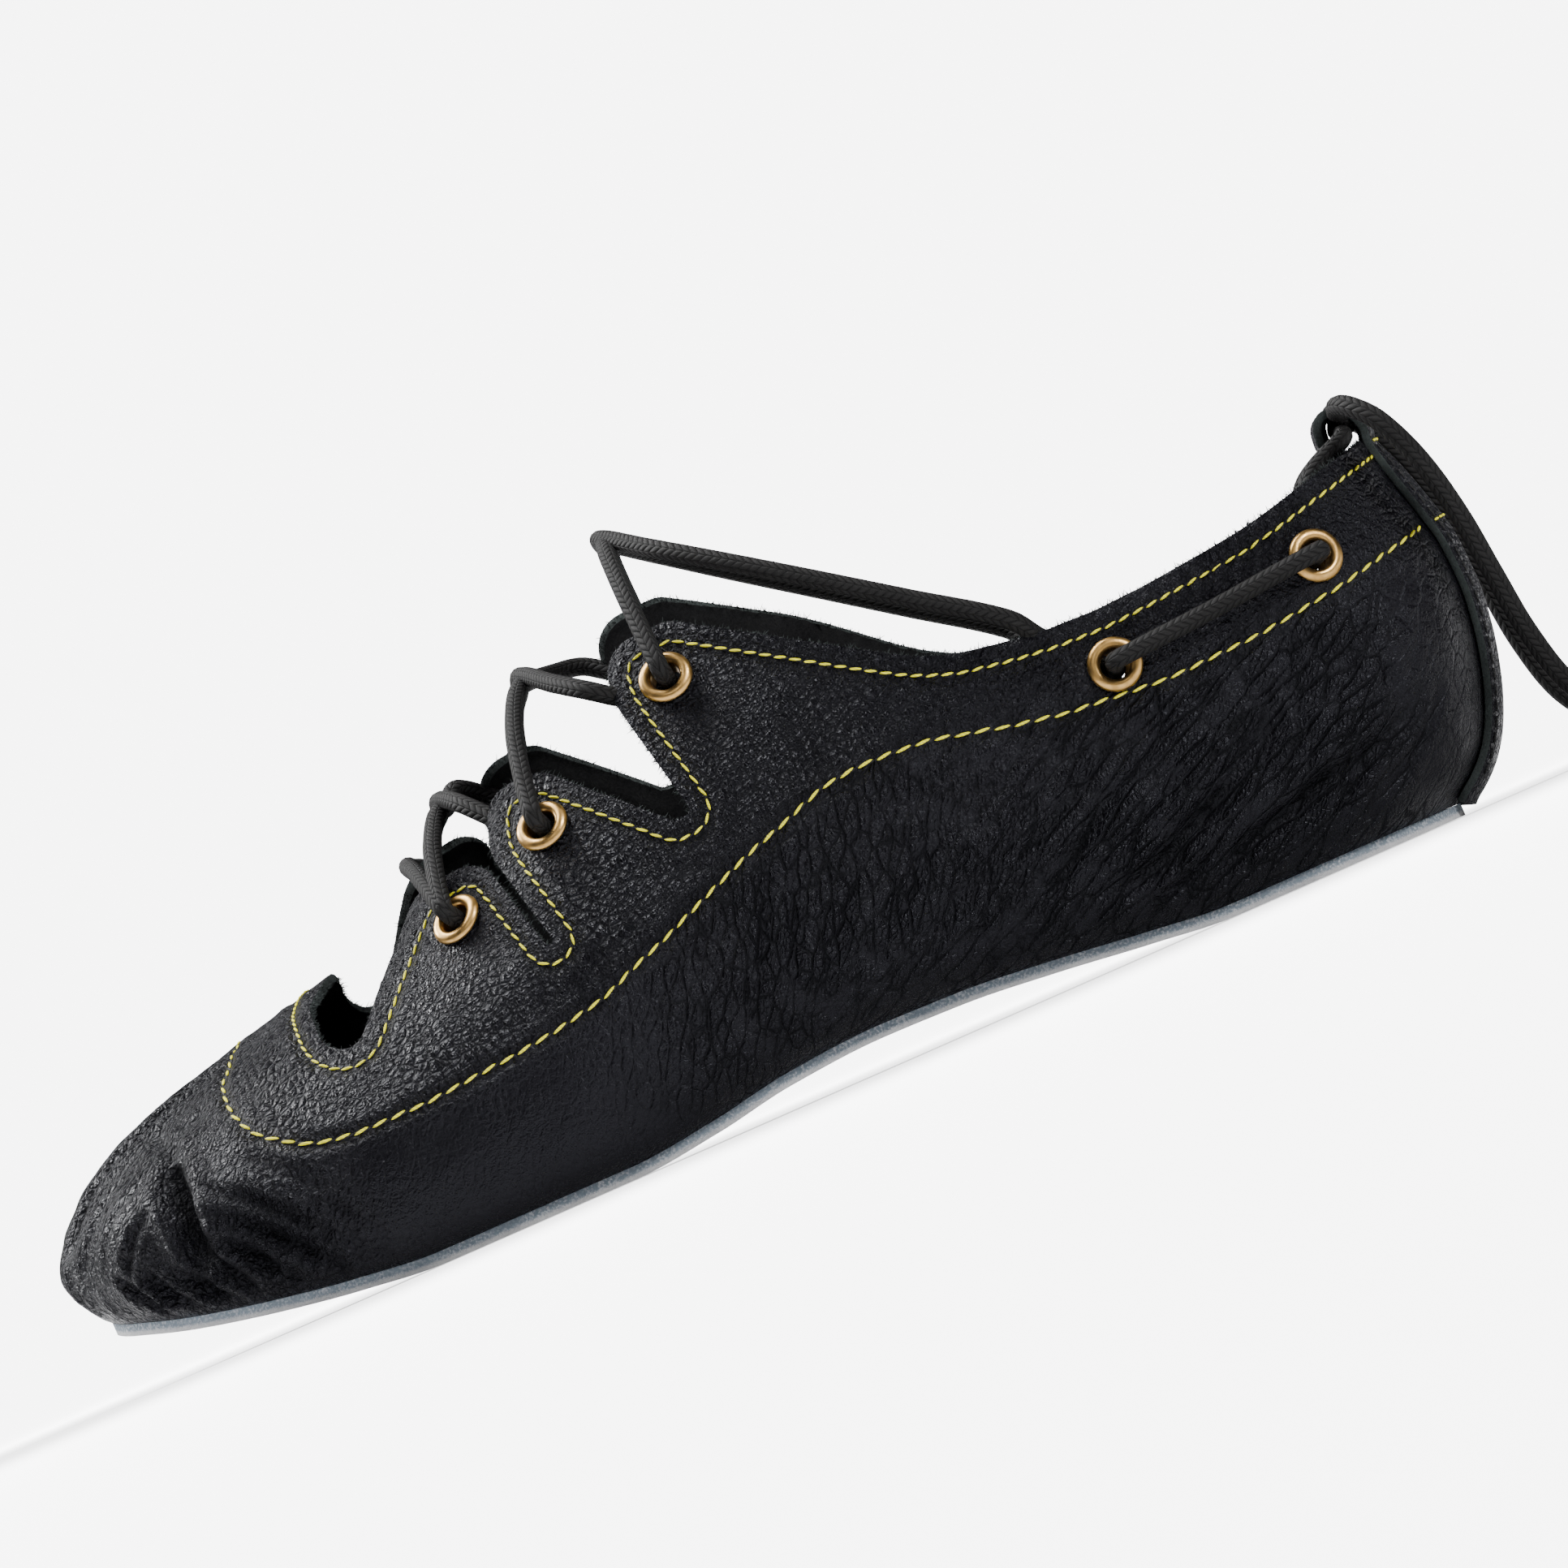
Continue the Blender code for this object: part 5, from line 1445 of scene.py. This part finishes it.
def make_heel_strip(paints):
    outside = SEAT + STRIP_THICK / 2
    inside = -(WALL + STRIP_CLEAR + STRIP_THICK / 2)
    rows = [("back", z, outside) for z in STRIP_ROWS]
    rows += [("loop", at, z) for at, z in LOOP]
    rows += [("back", z, inside) for z in STRIP_INSIDE_ROWS]

    def coarse(i, y):
        kind, first, second = rows[i]
        if kind == "back":
            over_seam = STRIP_CROWN * (1 - (2 * y / STRIP_WIDTH) ** 2) * (1 - eased(*CROWN_ENDS, first))
            return heel_point(y, first, second + (over_seam if second > 0 else 0.0))
        return Vector((first - y * y / (2 * STRIP_SAG), y, second))

    columns = []
    for j in range(STRIP_ACROSS + 1):
        y = STRIP_WIDTH * (j / STRIP_ACROSS - 0.5)
        points = [coarse(i, y) for i in range(len(rows))]
        columns.append([curve_through(range(len(rows)), [p[axis] for p in points]) for axis in range(3)])

    def point(i, j):
        return [axis(i / STRIP_FINER) for axis in columns[j]]

    bm = sheet(STRIP_FINER * (len(rows) - 1), STRIP_ACROSS, point)
    face_away(bm, INSIDE)
    surface = BVHTree.FromBMesh(bm)
    strip = new_object("leather_heel_strip", bm, paints)
    thicken(strip, STRIP_THICK, 0, 1, 2)
    soften(strip, STRIP_SOFT)
    add_piece(strip, "strip_leather", "heel_strip")
    return surface


# Eyelets

EYELET_STEPS = 40
EYELET_PROFILE = [
    (2.45, -2.5), (2.45, 0.2), (2.52, 0.7), (2.72, 1.08), (3.05, 1.28), (3.45, 1.33), (3.9, 1.22),
    (4.28, 0.95), (4.5, 0.6), (4.55, 0.3), (4.4, 0.1), (3.05, 0.1), (3.05, -2.0), (3.9, -2.05), (4.0, -2.3),
    (3.7, -2.6),
]


def make_eyelets(brass):
    for name, _, middle, outward in eyelet_places():
        eyelet = lathed(f"brass_eyelet_{name}", EYELET_PROFILE, EYELET_STEPS, middle, outward, brass)
        add_piece(eyelet, "brass", f"eyelet_{name}")


# Lace

LACE_SIDES = 14
LACE_STEP = 0.9
CORD_STEP = 1.2
CORD_TIP = (0.55, 12, 0.6)  # its share of the width, the steps that thin it, and the least share
AGLET_GRIP = 4.0  # of the cord inside it
AGLET_STEPS = 20
LACE_DRAWN = 0.92  # of its slack width, where it is pulled tight


def lace_tube(name, route, radii, material):
    """A braided cord along a route in millimetres, with the braid's UV map on it."""
    curve = bpy.data.curves.new(name, "CURVE")
    curve.dimensions = "3D"
    curve.bevel_depth = LACE / 2 * MM
    curve.bevel_resolution = LACE_SIDES // 2 - 2
    spline = curve.splines.new("POLY")
    spline.points.add(len(route) - 1)
    for point, target, radius in zip(spline.points, route, radii, strict=True):
        point.co = (*place(*target), 1.0)
        point.radius = radius
    wire = bpy.data.objects.new(name, curve)
    bpy.context.scene.collection.objects.link(wire)
    bm = finished(wire)
    bpy.data.curves.remove(curve)
    sides = len(bm.verts) // len(route)
    gone = lengths_along(route)
    bm.verts.index_update()
    for layer in list(bm.loops.layers.uv):
        bm.loops.layers.uv.remove(layer)
    layer = bm.loops.layers.uv.new("braid")
    for face in bm.faces:
        turns = [loop.vert.index % sides for loop in face.loops]
        wraps = max(turns) - min(turns) > sides / 2
        for loop, turn in zip(face.loops, turns):
            around = turn + sides if wraps and turn < sides / 2 else turn
            loop[layer].uv = (around / sides, gone[loop.vert.index // sides])
    ends = [edge for edge in bm.edges if edge.is_boundary]
    bmesh.ops.holes_fill(bm, edges=ends, sides=0)
    bmesh.ops.recalc_face_normals(bm, faces=bm.faces)
    return new_object(name, bm, [material])


def crown(side, number, lift=CROWN_LIFT):
    """A point in front of an eyelet's hole, or behind it."""
    eyelet = EYELETS[number]
    return on_wall(side, eyelet.at, side_height(side, eyelet.at, eyelet.height), lift)


def climb(side, number, ridge_at):
    """From an eyelet up the instep to the ridge."""
    eyelet = EYELETS[number]
    low = side_height(side, eyelet.at, eyelet.height)
    points = [crown(side, number)]
    for share, lift in CLIMB.items():
        at = mixed(eyelet.at, ridge_at, share)
        rise = math.sin(share * math.pi / 2) ** CLIMB_ROUND
        points.append(on_wall(side, at, mixed(low, form_at(ridge_at).crest - 1, rise), lift))
    over = CROSS_OVER if side == INNER else -CROSS_OVER
    return points + [on_ridge(ridge_at, RIDGE_LIFT + over)]


def through_eyelet(side, number):
    """Out of the shoe through an eyelet's hole."""
    return [crown(side, number, lift) for lift in HOLE_LIFTS]


def half_lace(side):
    """One half of the lace: from the first eyelet, crossing the instep three times, to the back loop."""
    points = [crown(side, 0, START_LIFT)] + through_eyelet(side, 0)
    for crossing in CROSSINGS:
        points += climb(side, crossing.eyelet, crossing.ridge_at)
        side = -side
        crest = form_at(crossing.ridge_at).crest
        end_height = side_height(side, crossing.end_at, crossing.end_height)
        for share in crossing.shares:
            at = mixed(crossing.ridge_at, crossing.end_at, share)
            points.append(on_wall(side, at, mixed(crest, end_height, share), RIDGE_LIFT))
        hole = EYELETS[crossing.eyelet + 1]
        hole_height = side_height(side, hole.at, hole.height)
        for share, lift in BEHIND_LIFTS.items():
            at = mixed(crossing.end_at, hole.at, share)
            points.append(on_wall(side, at, mixed(end_height, hole_height, share), lift))
        points += through_eyelet(side, crossing.eyelet + 1)
    points.append(crown(side, 3))
    for share, lift in RUN.items():
        at = mixed(EYELETS[3].at, EYELETS[4].at, share)
        points.append(on_wall(side, at, mixed(EYELETS[3].height, EYELETS[4].height, share), lift))
    points.append(crown(side, 4))
    points += through_eyelet(side, 4)[::-1]
    points += [on_wall(side, stand.at, stand.height, stand.lift) for stand in RISER]
    through_loop = [RISER_MOUTH] + [(LOOP_LANES[side], y, z) for y, z in LOOP_PASS] + [LOOP_EXIT]
    return points + [Vector((at, side * y, z)) for at, y, z in through_loop]


def squeeze(point):
    """The lace's share of its full width: less inside the back loop."""
    if point.x > LOOP_STARTS[0] and abs(point.y) < LOOP_HALF[1] and point.z > LOOP_STARTS[1]:
        return mixed(LOOP_SQUEEZE, LACE_DRAWN, eased(*LOOP_HALF, abs(point.y)))
    return LACE_DRAWN


def make_lace(braid, tip):
    for name, side in SIDES.items():
        route = evenly(smooth_route(half_lace(side), LACE_STEP), LACE_STEP)
        half = lace_tube(f"lace_from_{name}", route, [squeeze(p) for p in route], braid)
        other = "far" if name == "near" else "near"
        nodes = [f"lace_run_{other}", f"lace_riser_{other}"]
        if name == "near":
            nodes += [f"lace_crossing_{number}" for number in (1, 2, 3)]
        add_piece(half, "lace", *nodes)
    bar = climb(OUTER, 0, BAR_RIDGE) + climb(INNER, 0, BAR_RIDGE)[-2::-1]
    bar = [crown(OUTER, 0, lift) for lift in BAR_LIFTS] + bar
    bar += [crown(INNER, 0, lift) for lift in BAR_LIFTS[::-1]]
    route = evenly(smooth_route(bar, LACE_STEP), LACE_STEP)
    add_piece(lace_tube("lace_bar", route, [LACE_DRAWN] * len(route), braid), "lace")
    for name, side in SIDES.items():
        make_free_end(name, side, braid, tip)


def floor_legs(side, first_y):
    """Points of a cord that lies on the floor in legs to and fro, joined by half circles."""
    points = []
    radius = LEG_GAP / 2
    for leg in range(LEGS):
        y = first_y + side * LEG_GAP * leg
        start, end = LEG_ENDS if leg % 2 == 0 else LEG_ENDS[::-1]
        ahead = math.copysign(1, end - start)
        if leg == LEGS - 1:
            end += ahead * LAST_LEG_MORE
        points += [(start, y), ((start + end) / 2, y + side * LEG_SWAY), (end, y)]
        if leg < LEGS - 1:
            for angle in np.radians((45, 90, 135)):
                points.append((end + ahead * radius * np.sin(angle), y + side * radius * (1 - np.cos(angle))))
    return [(at, y, LACE_REST) for at, y in points]


def make_free_end(name, side, braid, tip):
    points = DROPS[name] + floor_legs(side, DROPS[name][-1][1])
    route = [Vector((p.x, p.y, max(p.z, LACE_REST))) for p in smooth_route(points, CORD_STEP)]
    count = round((LACE_END - AGLET_LONG + AGLET_GRIP) / CORD_STEP)
    route = evenly(route, CORD_STEP)[: count + 1]
    left = len(route) - np.arange(len(route))
    share, steps, least = CORD_TIP
    radii = np.clip(share + left / steps, least, 1.0)
    cord = lace_tube(f"lace_end_{name}_cord", route, radii, braid)
    add_piece(cord, "lace", f"lace_end_{name}")
    ahead = (route[-1] - route[-3]).normalized()
    start = route[-1] - ahead * AGLET_GRIP
    end = start + ahead * AGLET_LONG
    start.z = end.z = AGLET / 2 + 0.1
    aglet = make_aglet(name, start, end, tip)
    place(*route[0])
    [place(*p) for p in route]


def make_aglet(name, start, end, tip):
    """A thin sleeve, crimped at its mouth and rounded at its tip."""
    long = (end - start).length
    profile = [(0.0, 0.0), (0.85, 0.0), (1.05, 0.25), (1.05, 1.6), (0.93, 1.9), (0.93, 2.3), (1.05, 2.6),
               (1.05, long - 1.0), (0.9, long - 0.4), (0.55, long - 0.08), (0.0, long)]
    aglet = lathed(f"aglet_{name}_sleeve", profile, AGLET_STEPS, start, end - start, tip)
    return add_piece(aglet, "aglet", f"aglet_{name}")


# Stitching


def inset_line(points, distance):
    """The line moved to its right-hand side, which is the leather's side of the cut edge."""
    moved = []
    for i, point in enumerate(points):
        ahead = points[min(i + 1, len(points) - 1)] - points[max(i - 1, 0)]
        moved.append(point + Vector((ahead.y, -ahead.x)).normalized() * distance)
    return moved


def snapped(targets, surface, lift=0.0):
    """The points of a surface nearest to the targets, in millimetres, with their outward directions."""
    found = []
    for target in targets:
        point, normal, _, _ = surface.find_nearest(target)
        found.append((point / MM + normal * lift, normal))
    return found


def on_leather(side, line, surface):
    """Points of the worn outer face under a line of places and heights."""
    targets = []
    for at, z in line:
        z = min(z, form_at(section_of(at, z)).crest - RIDGE_CLEAR)
        targets.append(place(at, section_y(side, section_of(at, z), z), z))
    return snapped(targets, surface)


def on_strip(line, surface):
    """Points of the strip's outer face under a line of sideways places and heights."""
    targets = [place(*heel_point(y, z, SEAT + STRIP_THICK / 2)) for y, z in line]
    return snapped(targets, surface, STRIP_THICK / 2)


def over_ridge(sides, at, surface):
    """Points of a seam between the ends of its two sides, over the ridge."""
    turns = [sides["near"][0][0], place(*on_ridge(at, 0.0)) / MM, sides["far"][0][0]]
    return snapped([point * MM for point in smooth_route(turns, 1.0)], surface)


def add_stitches(bm, line, pitch, share, width, slant, lift):
    """Short rounds of thread along a line of points with their outward directions."""
    points = [p for p, _ in line]
    normals = [n for _, n in line]
    gone = lengths_along(points)
    count = int(gone[-1] / pitch)
    for k in range(count):
        ends = []
        for far in ((k + 0.5 - share / 2) * pitch, (k + 0.5 + share / 2) * pitch):
            i = min(max(int(np.searchsorted(gone, far)) - 1, 0), len(points) - 2)
            t = (far - gone[i]) / max(gone[i + 1] - gone[i], 1e-6)
            normal = mixed(normals[i], normals[i + 1], t).normalized()
            ends.append((mixed(points[i], points[i + 1], t), normal))
        (start, up), (end, _) = ends
        ahead = (Matrix.Rotation(slant, 3, up) @ (end - start)).normalized()
        sideways = up.cross(ahead).normalized()
        half_long = (end - start).length * STITCH_ROUND[0]
        half_thick = width * STITCH_ROUND[1]
        size = Matrix.Diagonal((half_long * MM, width / 2 * MM, half_thick * MM, 1))
        turned = Matrix((ahead, sideways, ahead.cross(sideways))).transposed().to_4x4()
        middle = Matrix.Translation(((start + end) / 2 + up * lift) * MM)
        add_apart(bm, bmesh.ops.create_uvsphere, u_segments=8, v_segments=6, radius=1,
                  matrix=middle @ turned @ size)


def make_stitching(surface, strip_surface, yellow, black):
    threads = bmesh.new()
    stitch_shadows_and_marks = bmesh.new()

    def sew(line, slant, pitch, share, width):
        # Each stitch gets a black mark under it, longer and wider: its needle holes, and its painted shadow
        # on the leather.
        add_stitches(threads, line, pitch, share, width, slant, STITCH_LIFT)
        add_stitches(stitch_shadows_and_marks, line, pitch, MARK_SHARE, width * MARK_WIDER, 0.0, MARK_LIFT)

    edges = {}
    vamps = {}
    for name, side in SIDES.items():
        inset = inset_line(edge_line(name), EDGE_SEAM_IN)
        below_ridge = [p for p in inset if p.y < form_at(p.x).crest - SEAM_RIDGE_CLEAR]
        edges[name] = on_leather(side, below_ridge, surface)
        vamps[name] = on_leather(side, spaced([Vector(p) for p in VAMP_SEAM], 1.5), surface)
        sew(edges[name], -side * STITCH_SLANT, *EDGE_STITCH)
        sew(vamps[name], -side * STITCH_SLANT, *VAMP_STITCH)
    sew(over_ridge(edges, EDGE_SEAM_FRONT, surface), 0.0, *EDGE_STITCH)
    sew(over_ridge(vamps, VAMP_SEAM_FRONT, surface), 0.0, *VAMP_STITCH)
    half = STRIP_WIDTH / 2
    for z in STRIP_SEAMS:
        line = on_strip([(y, z) for y in np.linspace(-half + 0.4, half - 0.4, 15)], strip_surface)
        add_stitches(threads, line, *STRIP_STITCH, 0.0, STRIP_LIFT)
    for side in SIDES.values():
        heights = np.linspace(*STRIP_SEAM_ENDS, 40)
        line = on_strip([(side * (half - STRIP_MARK_IN), z) for z in heights], strip_surface)
        add_stitches(stitch_shadows_and_marks, line, *STRIP_MARK, 0.0, STRIP_MARK_LIFT)
    add_piece(new_object("yellow_stitches", threads, [yellow]), "leather")
    add_piece(new_object("needle_marks_and_stitch_shadows", stitch_shadows_and_marks, [black]), "leather")


FRAY_STEP = 0.17
FRAY_LONG = (0.3, 1.5)
FRAY_THICK = 0.11


def add_hair(bm, root, lean, long, thick):
    """A short loose fibre, thinner to its tip."""
    turned = lean.to_track_quat("Z", "Y").to_matrix().to_4x4()
    turned.translation = (root + lean.normalized() * (long / 2 - 0.15)) * MM
    add_apart(bm, bmesh.ops.create_cone, cap_ends=True, segments=3, radius1=thick * MM,
              radius2=thick * MM / 5, depth=long * MM, matrix=turned)


def make_fraying(surface, fibre):
    """Loose fibres that stand out of the raw cut edge."""
    dice = random.Random(4)
    fibres = bmesh.new()
    for name, side in SIDES.items():
        edge = on_leather(side, edge_line(name), surface)
        for (here, up), (ahead, _) in zip(edge, edge[1:]):
            along = ahead - here
            if along.length < 1e-3:
                continue
            out = side * along.normalized().cross(up)
            for _ in range(max(1, round(along.length / FRAY_STEP))):
                root = here + along * dice.random() - up * dice.uniform(0.0, WALL)
                lean = out + up * dice.uniform(-0.7, 0.7) + along.normalized() * dice.uniform(-0.9, 0.9)
                add_hair(fibres, root, lean, dice.triangular(*FRAY_LONG, FRAY_LONG[0]), FRAY_THICK)
    add_piece(new_object("frayed_edge", fibres, [fibre]), "leather")


NAP_STEP = 0.3
NAP_LONG = (0.3, 0.9)
NAP_THICK = 0.07


def make_nap(fibre):
    """Pale fibres along the lower edge of the sole."""
    dice = random.Random(9)
    nap = bmesh.new()
    for side in SIDES.values():
        for at in np.arange(SOLE_TOE + 0.6, SOLE_HEEL - 0.4, NAP_STEP):
            y = sole_edge(side, at)
            low = sole_top(at, y) - SOLE_THICK
            root = place(at, y - side * 0.2, low + dice.uniform(0.15, 0.7)) / MM
            lean = Vector((dice.uniform(-0.6, 0.6), side, dice.uniform(-0.3, 0.3) if low > 1 else 0.15))
            add_hair(nap, root, lean, dice.triangular(*NAP_LONG, NAP_LONG[0]), NAP_THICK)
    add_piece(new_object("loose_nap", nap, [fibre]), "suede")


def main():
    make_camera()
    make_studio()
    # The second colour of each leather is the painted shade of its grain's valleys.
    leather = leather_paint("black_leather", (0.0040, 0.0037, 0.0050), (0.0004, 0.0004, 0.0006), True)
    # The strip's leather is painted lighter than the upper's: a painted highlight for the light that its
    # grazing face catches.
    strip_leather = leather_paint("strip_leather", (0.0100, 0.0100, 0.0125), (0.0026, 0.0026, 0.0034), False)
    raw_edge = fibre_paint("raw_leather_edge", (0.012, 0.014, 0.014), (0.055, 0.066, 0.064), 1500.0, 0.25)
    lining = fibre_paint("dark_lining", (0.010, 0.010, 0.011), (0.030, 0.030, 0.031), 900.0, 0.2)
    board = fibre_paint("insole_suede", (0.016, 0.016, 0.017), (0.045, 0.045, 0.047), 700.0, 0.2)
    make_lace(lace_paint(), aglet_paint())
    surface = make_upper([leather, lining, raw_edge])
    make_soles(sole_suede_paint(), board)
    strip_surface = make_heel_strip([strip_leather, lining, raw_edge])
    make_eyelets(brass_paint())
    yellow = thread_paint("yellow_thread", (0.66, 0.60, 0.008), (0.98, 0.92, 0.03))
    black = thread_paint("black_thread_and_shadow", (0.003, 0.003, 0.003), (0.008, 0.008, 0.008))
    make_stitching(surface, strip_surface, yellow, black)
    make_fraying(surface, raw_edge)
    make_nap(fibre_paint("pale_nap", (0.45, 0.48, 0.50), (0.85, 0.86, 0.88), 900.0, 0.1))


main()
